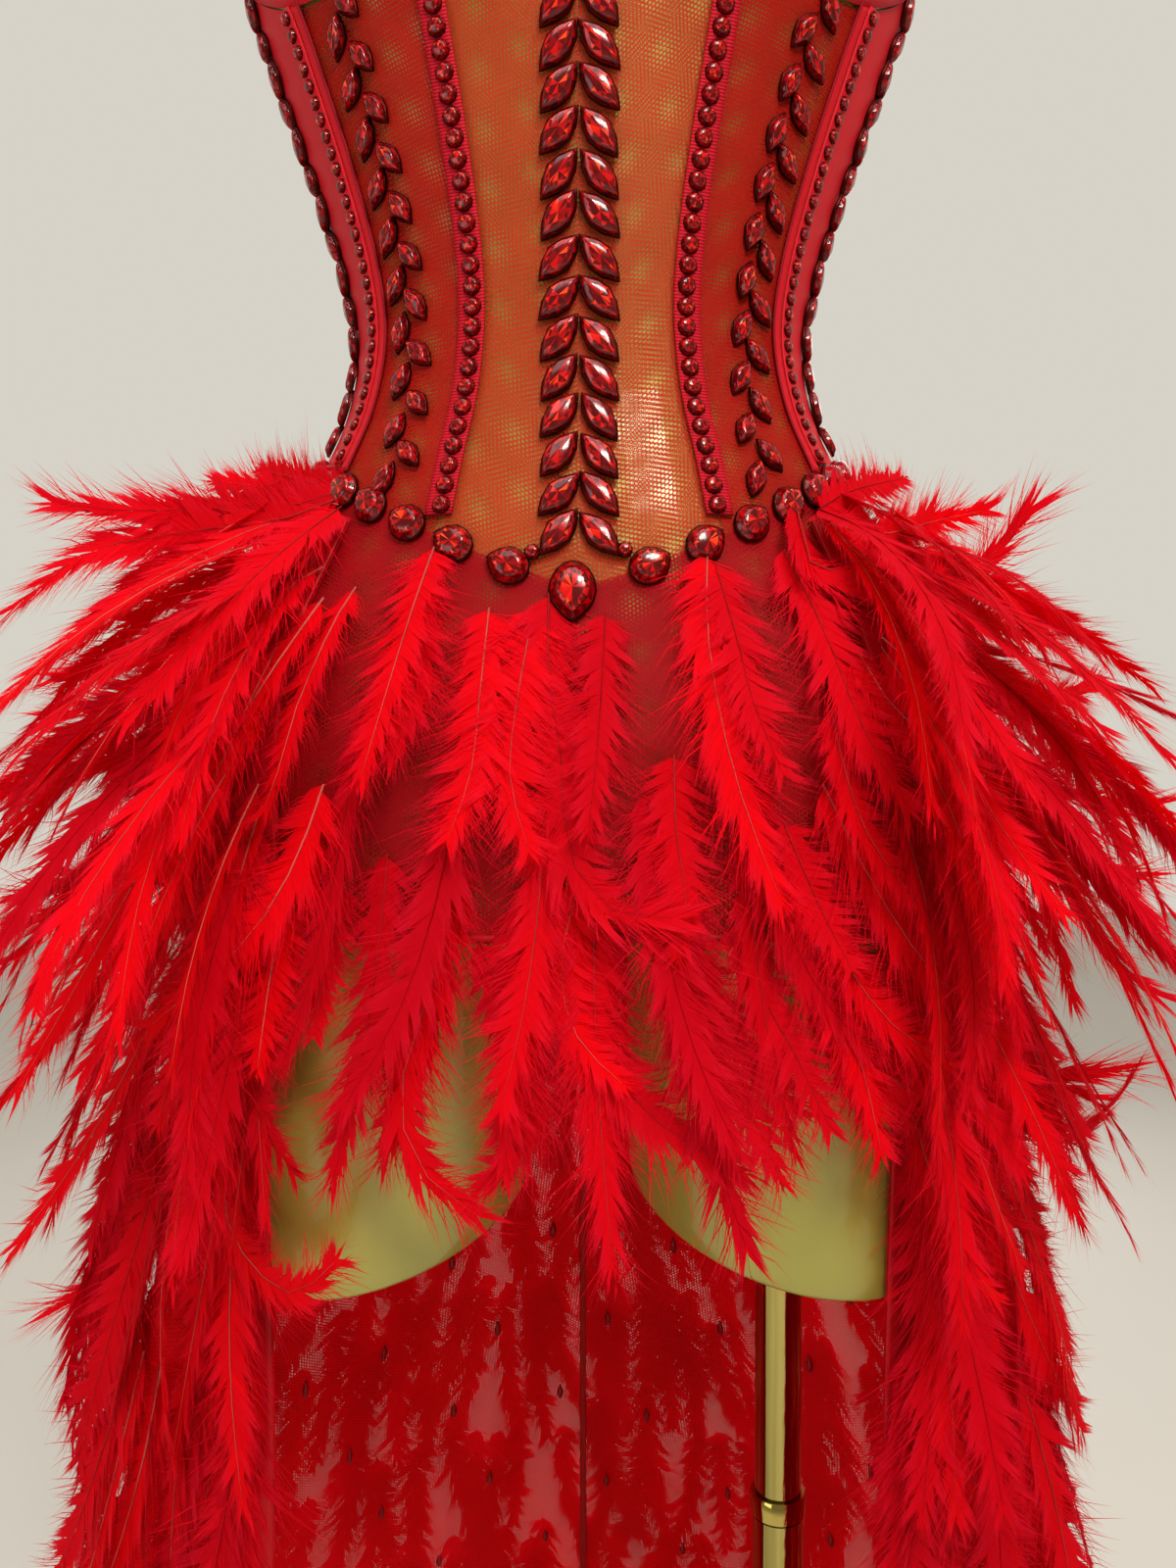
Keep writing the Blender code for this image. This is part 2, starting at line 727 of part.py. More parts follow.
def ring_stack(rings):
    """A closed solid through rings of points, capped at both ends."""
    bm = bmesh.new()
    loops = [[bm.verts.new(p) for p in ring] for ring in rings]
    count = len(loops[0])
    for low, high in zip(loops, loops[1:]):
        for i in range(count):
            j = (i + 1) % count
            bm.faces.new((low[i], low[j], high[j], high[i]))
    bm.faces.new(list(reversed(loops[0])))
    bm.faces.new(loops[-1])
    return bm


def stub_cut_z(x, y):
    return STUB_CUT_Z - STUB_CUT_SLOPE_X * (abs(x) - POLE_X) + STUB_CUT_SLOPE_Y * y


def dress_form(satin, cap_stuff):
    turn = 360.0 / FORM_COLUMNS
    levels = [row[0] for row in BODY]
    levels += [(a + b) / 2.0 for a, b in zip(levels, levels[1:]) if FORM_FINE[0] < a < FORM_FINE[1]]
    rings = [
        [on_body(-i * turn, z, 0.0, FORM_BUST_SHARE) for i in range(FORM_COLUMNS)]
        for z in sorted(levels)
    ]
    form = finish("dress_form", ring_stack(rings), satin)
    for side, sign in (("left", -1), ("right", 1)):
        rings = []
        for z, x, half_width, half_depth in THIGH + (STUB_END,):
            ring = []
            for i in range(THIGH_COLUMNS):
                a = 2.0 * math.pi * i / THIGH_COLUMNS
                px = sign * x + half_width * math.cos(a)
                py = half_depth * math.sin(a)
                ring.append(Vector((px, py, stub_cut_z(px, py) if z is None else z)))
            rings.append(ring)
        stub = finish(f"thigh_{side}", ring_stack(rings), satin)
        combine(form, stub, "UNION")
    socket_top = STUB_CUT_Z + SOCKET_DEPTH + SEAM
    socket = cylinder(UPPER_TUBE_RADIUS + SEAM, STUB_CUT_Z - SOCKET_DEPTH, socket_top, POLE_X)
    cutter = finish("socket", socket, satin)
    combine(form, cutter, "DIFFERENCE")
    top = BODY[-1]
    rings = []
    turn = 360.0 / NECK_COLUMNS
    for height, grow in NECK_CAP:
        z = top[0] + height
        rings.append([on_oval(-i * turn, z, *top[1:], grow) for i in range(NECK_COLUMNS)])
    finish("neck_cap", ring_stack(rings), cap_stuff)


def combine(target, other, operation):
    other.hide_render = True
    other.display_type = "WIRE"
    step = target.modifiers.new(f"{operation.lower()} {other.name}", "BOOLEAN")
    step.operation = operation
    step.object = other


def cylinder(radius, low, high, x, bevel=0.0, sides=TUBE_SIDES):
    bm = bmesh.new()
    bmesh.ops.create_cone(
        bm, cap_ends=True, cap_tris=False, segments=sides,
        radius1=radius, radius2=radius, depth=high - low,
    )
    bmesh.ops.translate(bm, vec=(x, 0.0, (low + high) / 2.0), verts=bm.verts[:])
    if bevel:
        rims = [e for e in bm.edges if abs(e.verts[0].co.z - e.verts[1].co.z) < 1e-6]
        rims = [e for e in rims if e.verts[0].co.z > (low + high) / 2.0]
        bmesh.ops.bevel(
            bm, geom=rims, offset=bevel, segments=2, profile=0.5, affect="EDGES", material=-1
        )
    return bm


def stand(brass):
    """Telescoped pole from the right thigh to a flat round base with a boss."""
    lower_start = BASE_THICK + TUBE_LIFT
    ring_low = RING_Z - RING_HEIGHT
    boss_top = BASE_THICK + BOSS_HEIGHT
    upper = cylinder(UPPER_TUBE_RADIUS, RING_Z + SEAM, STUB_CUT_Z + SOCKET_DEPTH, POLE_X)
    lower = cylinder(LOWER_TUBE_RADIUS, lower_start, ring_low - SEAM, POLE_X)
    ring = cylinder(RING_RADIUS, ring_low, RING_Z, POLE_X, RING_ROUND)
    base = cylinder(BASE_RADIUS, 0.0, BASE_THICK, 0.0, EDGE_ROUND, BASE_SIDES)
    finish("pole_upper", upper, brass)
    finish("pole_lower", lower, brass)
    finish("pole_ring", ring, brass)
    plate = finish("base_plate", base, brass)
    boss = finish("boss", cylinder(BOSS_RADIUS, BASE_THICK / 2, boss_top, POLE_X, EDGE_ROUND), brass)
    hole_top = boss_top + BOSS_HEIGHT
    hole = cylinder(LOWER_TUBE_RADIUS + SEAM, lower_start - SEAM, hole_top, POLE_X)
    combine(plate, boss, "UNION")
    combine(plate, finish("boss_hole", hole, brass), "DIFFERENCE")


def main():
    clear_scene()
    mesh_cloth = material("red stretch mesh", (0.55, 0.05, 0.03), 0.55)
    satin = material("red satin", (0.53, 0.02, 0.03), 0.45)
    tape = material("ribbed casing tape", (0.47, 0.01, 0.04), 0.5)
    glass = material("ruby glass stone", (0.25, 0.01, 0.01), 0.1)
    skirt_mesh = material("red skirt mesh", (0.42, 0.01, 0.01), 0.6)
    feather = material("red feather", (0.75, 0.0, 0.01), 0.7)
    form_satin = material("gold form cover", (0.40, 0.32, 0.06), 0.35)
    brass = material("polished brass", (0.60, 0.45, 0.10), 0.2, 1.0)
    dress_form(form_satin, brass)
    stand(brass)
    corset(mesh_cloth, satin)
    back_closure(satin)
    casings(tape)
    centre_stones(glass)
    garlands(glass)
    waistline_stones(glass)
    skirt(skirt_mesh)
    train(skirt_mesh, satin)
    front_feathers(feather)
    train_feathers(feather)


main()
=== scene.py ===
import math
import random

import bmesh
import bpy
import numpy as np
from mathutils import Matrix, Vector


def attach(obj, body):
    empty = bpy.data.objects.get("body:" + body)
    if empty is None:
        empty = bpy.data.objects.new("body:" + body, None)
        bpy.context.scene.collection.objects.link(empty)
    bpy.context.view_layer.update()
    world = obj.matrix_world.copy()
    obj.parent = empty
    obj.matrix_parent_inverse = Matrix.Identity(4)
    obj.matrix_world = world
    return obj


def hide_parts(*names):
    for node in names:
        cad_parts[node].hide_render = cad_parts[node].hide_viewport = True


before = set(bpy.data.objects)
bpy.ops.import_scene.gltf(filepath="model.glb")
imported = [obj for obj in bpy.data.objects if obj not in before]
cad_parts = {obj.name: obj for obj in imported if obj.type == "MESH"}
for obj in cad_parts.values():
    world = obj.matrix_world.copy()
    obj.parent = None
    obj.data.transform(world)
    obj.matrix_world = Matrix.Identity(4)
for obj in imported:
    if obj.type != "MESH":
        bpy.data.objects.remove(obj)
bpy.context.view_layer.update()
print("frame loaded:", len(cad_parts), "nodes")

# Sections of the figure under the cloth: z, half width, front depth, back depth
bodyRows = (
    (0.800, 0.178, 0.090, 0.106), (0.835, 0.180, 0.101, 0.120), (0.875, 0.177, 0.106, 0.125),
    (0.920, 0.170, 0.104, 0.119), (0.965, 0.158, 0.099, 0.107), (1.010, 0.140, 0.092, 0.094),
    (1.045, 0.123, 0.087, 0.087), (1.080, 0.1155, 0.086, 0.084), (1.115, 0.120, 0.088, 0.084),
    (1.160, 0.134, 0.092, 0.087), (1.210, 0.152, 0.097, 0.091), (1.265, 0.169, 0.101, 0.095),
    (1.320, 0.172, 0.104, 0.098), (1.370, 0.168, 0.098, 0.100), (1.415, 0.164, 0.086, 0.096),
    (1.450, 0.142, 0.073, 0.084), (1.475, 0.100, 0.062, 0.068), (1.492, 0.070, 0.054, 0.058),
    (1.512, 0.056, 0.050, 0.052), (1.545, 0.052, 0.050, 0.050),
)
# Sections of each thigh stub: z, centre x, half width, half depth
thighRows = (
    (0.640, 0.107, 0.0808, 0.087), (0.710, 0.107, 0.0818, 0.089), (0.760, 0.1065, 0.0812, 0.090),
    (0.805, 0.105, 0.079, 0.088), (0.845, 0.102, 0.070, 0.082), (0.880, 0.098, 0.050, 0.060),
)
# Sections of the train: z, half width, front depth, back depth, angle of its front edges
trainRows = (
    (0.000, 0.330, 0.078, 0.430, 38.0), (0.140, 0.303, 0.080, 0.375, 35.5),
    (0.280, 0.276, 0.083, 0.320, 34.5), (0.420, 0.252, 0.088, 0.272, 35.5),
    (0.560, 0.233, 0.096, 0.229, 38.0), (0.700, 0.217, 0.110, 0.190, 42.0),
    (0.800, 0.208, 0.123, 0.160, 45.0),
)
bust = {"angle": 35.0, "z": 1.312, "raise": 0.030, "spreadDeg": 19.0, "spreadZ": 0.045}
corset = {
    "pointZ": 0.951, "sideZ": 1.022, "pointPower": 1.2, "cupSeamZ": 1.285, "cupSeamDrop": 0.055,
    "cupTopZ": 1.325, "cupPeak": 0.070, "backTopZ": 1.270, "cupStart": 5.0, "casingFront": 25.0,
    "casingSide": 59.0, "sideSeam": 88.0, "edgeGap": 0.0008, "clear": 0.0012, "wall": 0.0012,
    "trimOut": 0.0036, "pearBand": 0.016, "stoneClear": 0.0015, "seamDeg": 0.1, "levels": 60,
    "cupOut": 0.0015, "cupWall": 0.0012, "closureDeg": 8.0, "closureWall": 0.0010, "tapeWall": 0.0006,
}
skirt = {
    "hemZ": 0.790, "hemRise": 0.004, "side": 92.0, "flareSide": 0.026, "flareFront": 0.012,
    "flareBack": 0.020, "flareDepth": 0.090, "hipZ": 0.875, "hemWide": 0.0035,
}
train = {
    "folds": 11, "foldDepth": 0.011, "foldStart": 0.860, "columns": 48, "edgeShare": 0.012,
    "ripple": 0.0011, "rippleStart": 0.80, "edgeStep": 0.0095, "seamShare": 0.0036,
}


def smoothStep(t):
    t = min(max(t, 0.0), 1.0)
    return t * t * (3.0 - 2.0 * t)


def rowAt(rows, key):
    key = min(max(key, rows[0][0]), rows[-1][0])
    i = 0
    while i < len(rows) - 2 and key > rows[i + 1][0]:
        i += 1
    low, high = rows[i], rows[i + 1]
    before, after = rows[max(i - 1, 0)], rows[min(i + 2, len(rows) - 1)]
    step = high[0] - low[0]
    t = (key - low[0]) / step
    weights = (2 * t**3 - 3 * t**2 + 1, t**3 - 2 * t**2 + t, 3 * t**2 - 2 * t**3, t**3 - t**2)
    values = []
    for c in range(1, len(low)):
        slopeLow = (high[c] - before[c]) / (high[0] - before[0]) * step
        slopeHigh = (after[c] - low[c]) / (after[0] - low[0]) * step
        parts = (low[c], slopeLow, high[c], slopeHigh)
        values.append(sum(w * p for w, p in zip(weights, parts)))
    return values


def onOval(angle, z, halfWidth, front, back, out):
    turn = math.radians(angle)
    depth = front if math.cos(turn) >= 0.0 else back
    point = Vector((halfWidth * math.sin(turn), -depth * math.cos(turn), z))
    normal = Vector((depth * math.sin(turn), -halfWidth * math.cos(turn), 0.0)).normalized()
    return point + normal * out


def onBody(angle, z, out, bustShare=1.0):
    halfWidth, front, back = rowAt(bodyRows, z)
    offAngle = (abs(angle) - bust["angle"]) / bust["spreadDeg"]
    offZ = (z - bust["z"]) / bust["spreadZ"]
    lift = bustShare * bust["raise"] * math.exp(-0.5 * (offAngle**2 + offZ**2))
    return onOval(angle, z, halfWidth, front, back, out + lift)


def arcDeg(angle, z, width):  # the angle that a width along the body takes up
    halfWidth, front, back = rowAt(bodyRows, z)
    turn = math.radians(angle)
    depth = front if math.cos(turn) >= 0.0 else back
    return math.degrees(width / math.hypot(halfWidth * math.cos(turn), depth * math.sin(turn)))


def waistZ(angle):
    turn = math.radians(min(abs(angle), 90.0))
    return corset["pointZ"] + (corset["sideZ"] - corset["pointZ"]) * math.sin(turn) ** corset["pointPower"]


def cupShare(angle):
    share = (abs(angle) - corset["cupStart"]) / (corset["sideSeam"] - corset["cupStart"])
    return min(max(share, 0.0), 1.0)


def cupSeamZ(angle):
    return corset["cupSeamZ"] - corset["cupSeamDrop"] * math.sin(math.pi * cupShare(angle))


def cupTopZ(angle):
    start, share = corset["cupSeamZ"] + 0.012, cupShare(angle)
    return start + (corset["cupTopZ"] - start) * share + corset["cupPeak"] * math.sin(math.pi * share) ** 0.8


def backTopZ(angle):
    share = smoothStep((abs(angle) - corset["sideSeam"]) / (180.0 - corset["sideSeam"]))
    return corset["cupTopZ"] + (corset["backTopZ"] - corset["cupTopZ"]) * share


def skirtPoint(angle, z, out):
    halfWidth, front, back = rowAt(bodyRows, max(z, skirt["hipZ"]))
    turn = math.radians(angle)
    facing = -math.cos(turn)
    flare = skirt["flareSide"] * math.sin(turn) ** 2
    flare += (skirt["flareBack"] if facing > 0.0 else skirt["flareFront"]) * facing**2
    drop = smoothStep((waistZ(angle) - z) / skirt["flareDepth"])
    return onOval(angle, z, halfWidth, front, back, flare * drop + out)


def foldOut(share, z):  # how far the train's fold stands out at a share of the way round
    growth = smoothStep((train["foldStart"] - z) / train["foldStart"]) ** 0.7
    wave = math.sin(2.0 * math.pi * (train["folds"] * share + 0.13 * math.sin(7.0 * share + 1.0)))
    return train["foldDepth"] * growth * (0.72 + 0.28 * math.sin(9.4 * share + 2.0)) * wave


def trainPoint(share, z, out, folded=True):
    topZ = trainRows[-1][0]
    halfWidth, front, back, edge = rowAt(trainRows, min(z, topZ))
    angle = -edge - (360.0 - 2.0 * edge) * share
    out += foldOut(share, z) if folded else 0.0
    low = onOval(angle, z, halfWidth, front, back, out)
    if z <= topZ - 0.06:
        return low
    high = skirtPoint((angle + 180.0) % 360.0 - 180.0, z, out + 0.0034)
    return low.lerp(high, smoothStep((z - topZ + 0.06) / 0.06))


def trainAngle(share):
    edge = trainRows[-1][4]
    return (-edge - (360.0 - 2.0 * edge) * share + 180.0) % 360.0 - 180.0


# Materials
def hexLinear(code):
    parts = [int(code[i:i + 2], 16) / 255.0 for i in (1, 3, 5)]
    return tuple(c / 12.92 if c <= 0.04045 else ((c + 0.055) / 1.055) ** 2.4 for c in parts) + (1.0,)


def addNode(tree, kind, inputs=None, links=None, **settings):
    node = tree.nodes.new(kind)
    for key, value in settings.items():
        setattr(node, key, value)
    for key, value in (inputs or {}).items():
        node.inputs[key].default_value = value
    for key, source in (links or {}).items():
        tree.links.new(source, node.inputs[key])
    return node


def newMaterial(name):
    made = bpy.data.materials.new(name)
    made.use_nodes = True
    tree = made.node_tree
    return made, tree, tree.nodes["Principled BSDF"]


def blendColours(tree, low, high, factor):
    ends = {6: hexLinear(low), 7: hexLinear(high)}
    return addNode(tree, "ShaderNodeMix", ends, {0: factor}, data_type="RGBA").outputs[2]


def raiseFrom(tree, shader, height, strength, distance):
    bump = addNode(tree, "ShaderNodeBump", {"Strength": strength, "Distance": distance}, {"Height": height})
    tree.links.new(bump.outputs[0], shader.inputs["Normal"])


def showThrough(tree, cover, solid):  # clear where cover is 0
    clear = addNode(tree, "ShaderNodeBsdfTransparent")
    shown = addNode(tree, "ShaderNodeMixShader", links={0: cover, 1: clear.outputs[0], 2: solid.outputs[0]})
    tree.links.new(shown.outputs[0], tree.nodes["Material Output"].inputs[0])


def setShader(shader, **values):
    for key, value in values.items():
        shader.inputs[key.replace("_", " ")].default_value = value


def netMaterial(name, threadHex, deepHex, pitchMm, openShare, seeThrough, layers=1):
    # warp-knit net: rows of small six-sided holes, matt thread
    # two layers a few degrees apart show moire bands
    made, tree, shader = newMaterial(name)
    uv = addNode(tree, "ShaderNodeUVMap", uv_map="cloth")
    covers = []
    for layer in range(layers):
        scale = 1000.0 / (pitchMm * (1.0 + 0.05 * layer)) * 2.0 * math.pi
        total = None
        for turn in (0.0, 60.0, 120.0):
            heading = math.radians(turn + 4.0 * layer)
            way = {1: (math.cos(heading) * scale, math.sin(heading) * scale, 0.0)}
            spot = {0: uv.outputs[0]}
            dot = addNode(tree, "ShaderNodeVectorMath", way, spot, operation="DOT_PRODUCT")
            wave = addNode(tree, "ShaderNodeMath", links={0: dot.outputs["Value"]}, operation="COSINE")
            if total:
                wave = addNode(tree, "ShaderNodeMath", links={0: total, 1: wave.outputs[0]})
            total = wave.outputs[0]
        cover = addNode(
            tree, "ShaderNodeMapRange",
            {"From Min": openShare - 0.5, "From Max": openShare + 0.5, "To Min": 1.0, "To Max": seeThrough},
            {"Value": total},
        )
        covers.append(cover.outputs[0])
    alpha = covers[0]
    if layers > 1:
        pair = {0: covers[0], 1: covers[1]}
        alpha = addNode(tree, "ShaderNodeMath", links=pair, operation="MAXIMUM").outputs[0]
    patch = addNode(tree, "ShaderNodeTexNoise", {"Scale": 26.0, "Detail": 2.0}, {"Vector": uv.outputs[0]})
    colour = blendColours(tree, deepHex, threadHex, patch.outputs[0])
    tree.links.new(colour, shader.inputs["Base Color"])
    raiseFrom(tree, shader, alpha, 0.25, 0.0002)
    setShader(shader, Roughness=0.65, Specular_IOR_Level=0.12)
    through = addNode(tree, "ShaderNodeBsdfTranslucent", links={0: colour})
    both = addNode(tree, "ShaderNodeMixShader", {0: 0.35}, {1: shader.outputs[0], 2: through.outputs[0]})
    showThrough(tree, alpha, both)
    return made


def satinMaterial(name, lightHex, deepHex, threadMm, roughness):
    # satin: long float threads one way, so it shines softly and shows fine lines
    made, tree, shader = newMaterial(name)
    uv = addNode(tree, "ShaderNodeUVMap", uv_map="cloth")
    stretch = addNode(
        tree, "ShaderNodeMapping", {"Scale": (1000.0 / threadMm, 60.0, 1.0)}, {"Vector": uv.outputs[0]}
    )
    even = {"Scale": 1.0, "Detail": 1.0}
    threads = addNode(tree, "ShaderNodeTexNoise", even, {"Vector": stretch.outputs[0]})
    tree.links.new(blendColours(tree, deepHex, lightHex, threads.outputs[0]), shader.inputs["Base Color"])
    raiseFrom(tree, shader, threads.outputs[0], 0.2, 0.0002)
    setShader(shader, Roughness=roughness, Sheen_Weight=0.02, Sheen_Roughness=0.35, Specular_IOR_Level=0.2)
    return made


def tapeMaterial():
    # grosgrain casing: matt ribs straight across the tape, 1.5 mm apart; their colour follows the rib
    # height, painted shade in the troughs and painted light on the crests
    made, tree, shader = newMaterial("Grosgrain casing tape, ribbed, matt")
    uv = addNode(tree, "ShaderNodeUVMap", uv_map="cloth")
    ribsAndPaintedShade = addNode(
        tree, "ShaderNodeTexWave", {"Scale": 1000.0 / 1.5 / 3.2, "Distortion": 0.4, "Detail": 0.0},
        {"Vector": uv.outputs[0]}, wave_type="BANDS", bands_direction="Y",
    )
    # painted shade: darker red in the rib troughs, lighter on the crests
    tree.links.new(blendColours(tree, "#8A0216", "#D00C24", ribsAndPaintedShade.outputs[1]), shader.inputs["Base Color"])
    raiseFrom(tree, shader, ribsAndPaintedShade.outputs[1], 0.6, 0.0004)
    setShader(shader, Roughness=0.65, Specular_IOR_Level=0.15)
    return made


def rubyMaterial():
    # foil-backed ruby glass: each facet keeps a fixed random tone, most dark, a few painted bright orange as
    # painted glints of the foil
    made, tree, shader = newMaterial("Ruby glass, cut and foil backed, painted glints")
    spark = addNode(tree, "ShaderNodeAttribute", attribute_name="spark")
    facet = {"Value": spark.outputs["Fac"]}
    # painted glints: the facet colour comes from the stored spark value, not from the lamps
    low = addNode(tree, "ShaderNodeMapRange", {"From Min": 0.15, "From Max": 0.85}, facet)
    high = addNode(tree, "ShaderNodeMapRange", {"From Min": 0.80, "From Max": 1.0}, facet)
    glass = blendColours(tree, "#540106", "#D0080C", low.outputs[0])
    paintedGlintMix = {0: high.outputs[0], 6: glass}
    mix = addNode(tree, "ShaderNodeMix", {7: hexLinear("#FF4C1C")}, paintedGlintMix, data_type="RGBA")
    tree.links.new(mix.outputs[2], shader.inputs["Base Color"])
    setShader(
        shader, Roughness=0.14, Specular_IOR_Level=0.34, IOR=1.5, Coat_Weight=0.12, Coat_Roughness=0.02
    )
    return made


def metalMaterial(name, lightHex, deepHex, roughness, grainMm, bumpStrength, drawn=(1.0, 1.0, 1.0)):
    # fine grain in the surface, and slow marks from handling; on a tube the marks are stretched lengthways
    # into streaks from dark to pale, drawing marks with painted reflection bands
    made, tree, shader = newMaterial(name)
    place = {"Vector": addNode(tree, "ShaderNodeTexCoord").outputs["Object"]}
    grain = addNode(tree, "ShaderNodeTexNoise", {"Scale": 1000.0 / grainMm, "Detail": 3.0}, place)
    marks = addNode(tree, "ShaderNodeMapping", {"Scale": drawn}, place)
    wearAndPaintedStreaks = addNode(tree, "ShaderNodeTexNoise", {"Scale": 9.0, "Detail": 4.0}, {"Vector": marks.outputs[0]})
    tree.links.new(blendColours(tree, deepHex, lightHex, wearAndPaintedStreaks.outputs[0]), shader.inputs["Base Color"])
    ends = {"To Min": roughness * 0.7, "To Max": roughness * 1.4}
    rough = addNode(tree, "ShaderNodeMapRange", ends, {"Value": wearAndPaintedStreaks.outputs[0]})
    tree.links.new(rough.outputs[0], shader.inputs["Roughness"])
    raiseFrom(tree, shader, grain.outputs[0], bumpStrength, 0.0002)
    setShader(shader, Metallic=1.0)
    return made


def formMaterial():
    # form cover: gold lame sprayed smooth, half metallic, a soft wide highlight and fine grain
    made, tree, shader = newMaterial("Gold form cover, smooth satin lame")
    place = {"Vector": addNode(tree, "ShaderNodeTexCoord").outputs["Object"]}
    grain = addNode(tree, "ShaderNodeTexNoise", {"Scale": 1000.0 / 1.2, "Detail": 2.0}, place)
    drift = addNode(tree, "ShaderNodeTexNoise", {"Scale": 7.0, "Detail": 3.0}, place)
    tree.links.new(blendColours(tree, "#8E8A2C", "#B6B054", drift.outputs[0]), shader.inputs["Base Color"])
    raiseFrom(tree, shader, grain.outputs[0], 0.12, 0.0003)
    setShader(shader, Roughness=0.40, Metallic=0.30, Coat_Weight=0.8, Coat_Roughness=0.07)
    return made


def featherMaterial(name, frayed):
    # dyed turkey plume: soft barbs that let light through and part towards their ends, pale pink quill
    made, tree, shader = newMaterial(name)
    uv = addNode(tree, "ShaderNodeUVMap", uv_map="plume")
    parts = addNode(tree, "ShaderNodeSeparateXYZ", links={0: uv.outputs[0]})
    shade = addNode(tree, "ShaderNodeAttribute", attribute_name="shade")
    kind, along, own = parts.outputs[0], parts.outputs[1], shade.outputs["Fac"]
    isTuft = addNode(tree, "ShaderNodeMath", {1: 1.5}, {0: kind}, operation="GREATER_THAN")
    tuft = {0: isTuft.outputs[0], 2: kind}
    share = addNode(tree, "ShaderNodeMath", {1: -2.0}, tuft, operation="MULTIPLY_ADD")
    fine = addNode(tree, "ShaderNodeCombineXYZ", links={0: along, 1: share.outputs[0], 2: own})
    barbs = {1: (2.3, 0.9, 61.0)}  # barbs lie about 0.4 mm apart
    spread = addNode(tree, "ShaderNodeVectorMath", barbs, {0: fine.outputs[0]}, operation="MULTIPLY")
    lines = addNode(tree, "ShaderNodeTexNoise", {"Scale": 1.0, "Detail": 0.0}, {"Vector": spread.outputs[0]})
    tone = {1: 0.9, 2: -0.45}
    tone = addNode(tree, "ShaderNodeMath", tone, {0: lines.outputs[0]}, operation="MULTIPLY_ADD")
    depth = addNode(tree, "ShaderNodeMath", links={0: tone.outputs[0], 1: own}, use_clamp=True)
    body = blendColours(tree, "#D6001C", "#FC0012", depth.outputs[0])
    # painted glow: the barb ends are painted pinker, standing in for light coming through the thin ends
    paintedGlowSpan = {"From Min": 0.30, "From Max": 1.0, "To Max": 0.7}
    ends = addNode(tree, "ShaderNodeMapRange", paintedGlowSpan, {"Value": share.outputs[0]})
    dyeAndPaintedGlow = addNode(
        tree, "ShaderNodeMix", {7: hexLinear("#E0183A")}, {0: ends.outputs[0], 6: body}, data_type="RGBA"
    )
    isQuill = addNode(tree, "ShaderNodeMath", {1: -0.5}, {0: kind}, operation="LESS_THAN")
    pale = addNode(tree, "ShaderNodeMath", {1: 2.5}, {0: own}, operation="POWER")
    quill = blendColours(tree, "#C00414", "#EC8076", pale.outputs[0])
    parted = {0: isQuill.outputs[0], 6: dyeAndPaintedGlow.outputs[2], 7: quill}
    colour = addNode(tree, "ShaderNodeMix", links=parted, data_type="RGBA")
    tree.links.new(colour.outputs[2], shader.inputs["Base Color"])
    setShader(shader, Roughness=0.8, Specular_IOR_Level=0.1)
    through = addNode(tree, "ShaderNodeBsdfTranslucent", links={0: colour.outputs[2]})
    both = addNode(tree, "ShaderNodeMixShader", {0: 0.45}, {1: shader.outputs[0], 2: through.outputs[0]})
    if not frayed:
        tree.links.new(both.outputs[0], tree.nodes["Material Output"].inputs[0])
        return made
    thin = {"From Min": plumeEnds["from"], "From Max": 1.0, "To Max": plumeEnds["loss"]}
    fade = addNode(tree, "ShaderNodeMapRange", thin, {"Value": share.outputs[0]})
    left = {0: lines.outputs[0], 1: fade.outputs[0]}
    left = addNode(tree, "ShaderNodeMath", links=left, operation="SUBTRACT")
    edge = {"From Min": -0.16, "From Max": 0.16}
    cover = addNode(tree, "ShaderNodeMapRange", edge, {"Value": left.outputs[0]})
    showThrough(tree, cover.outputs[0], both)
    return made


plumeEnds = {"from": 0.40, "loss": 0.84}  # share of a barb where it starts to part, and how far it thins out
clothNet = netMaterial("Stretch net, two layers, red over gold", "#D8341E", "#B82410", 1.9, -0.70, 0.04, 2)
sideNet = netMaterial("Power net, two layers, red", "#C81A10", "#A80E0C", 1.7, -0.25, 0.06, 2)
skirtNet = netMaterial("Skirt net, two layers, deep red", "#BC0818", "#98040E", 1.8, 0.2, 0.10, 2)
trainNet = netMaterial("Train net, deep red", "#FA001C", "#E00014", 2.0, 1.2, 0.64)
sideSatin = satinMaterial("Satin, red, woven", "#D4081E", "#B00416", 0.9, 0.5)
bandSatin = satinMaterial("Satin binding, red", "#C00414", "#98020E", 0.9, 0.5)
tape = tapeMaterial()
ruby = rubyMaterial()
setting = metalMaterial("Blackened cup settings", "#5A1A14", "#2A0808", 0.35, 1.0, 0.1)
brass = metalMaterial("Brass, polished", "#CDBA68", "#A8964A", 0.07, 1.5, 0.03)
# the pole tube: lengthwise streaks from dark to pale, painted reflection bands over its drawing marks
poleBrassWithPaintedStreaks = metalMaterial(
    "Brass tube, drawn, polished, painted reflection streaks", "#E8D880", "#5C5222", 0.07, 1.5, 0.03, drawn=(16.0, 16.0, 0.3)
)
goldCover = formMaterial()
plumeDye = [
    featherMaterial("Dyed plume, dense vane", False), featherMaterial("Dyed plume, parted barb ends", True)
]
print("materials ready")


# Shapes
def settle(name, mesh, stuff, nodes=(), smooth=True):
    for item in stuff if isinstance(stuff, (list, tuple)) else [stuff]:
        mesh.materials.append(item)
    if smooth:
        mesh.shade_smooth()
    piece = bpy.data.objects.new(name, mesh)
    bpy.context.scene.collection.objects.link(piece)
    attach(piece, "root")
    if nodes:
        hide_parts(*nodes)
    return piece


def fromBmesh(name, bm, stuff, nodes=(), smooth=True):
    mesh = bpy.data.meshes.new(name)
    bm.to_mesh(mesh)
    bm.free()
    return settle(name, mesh, stuff, nodes, smooth)


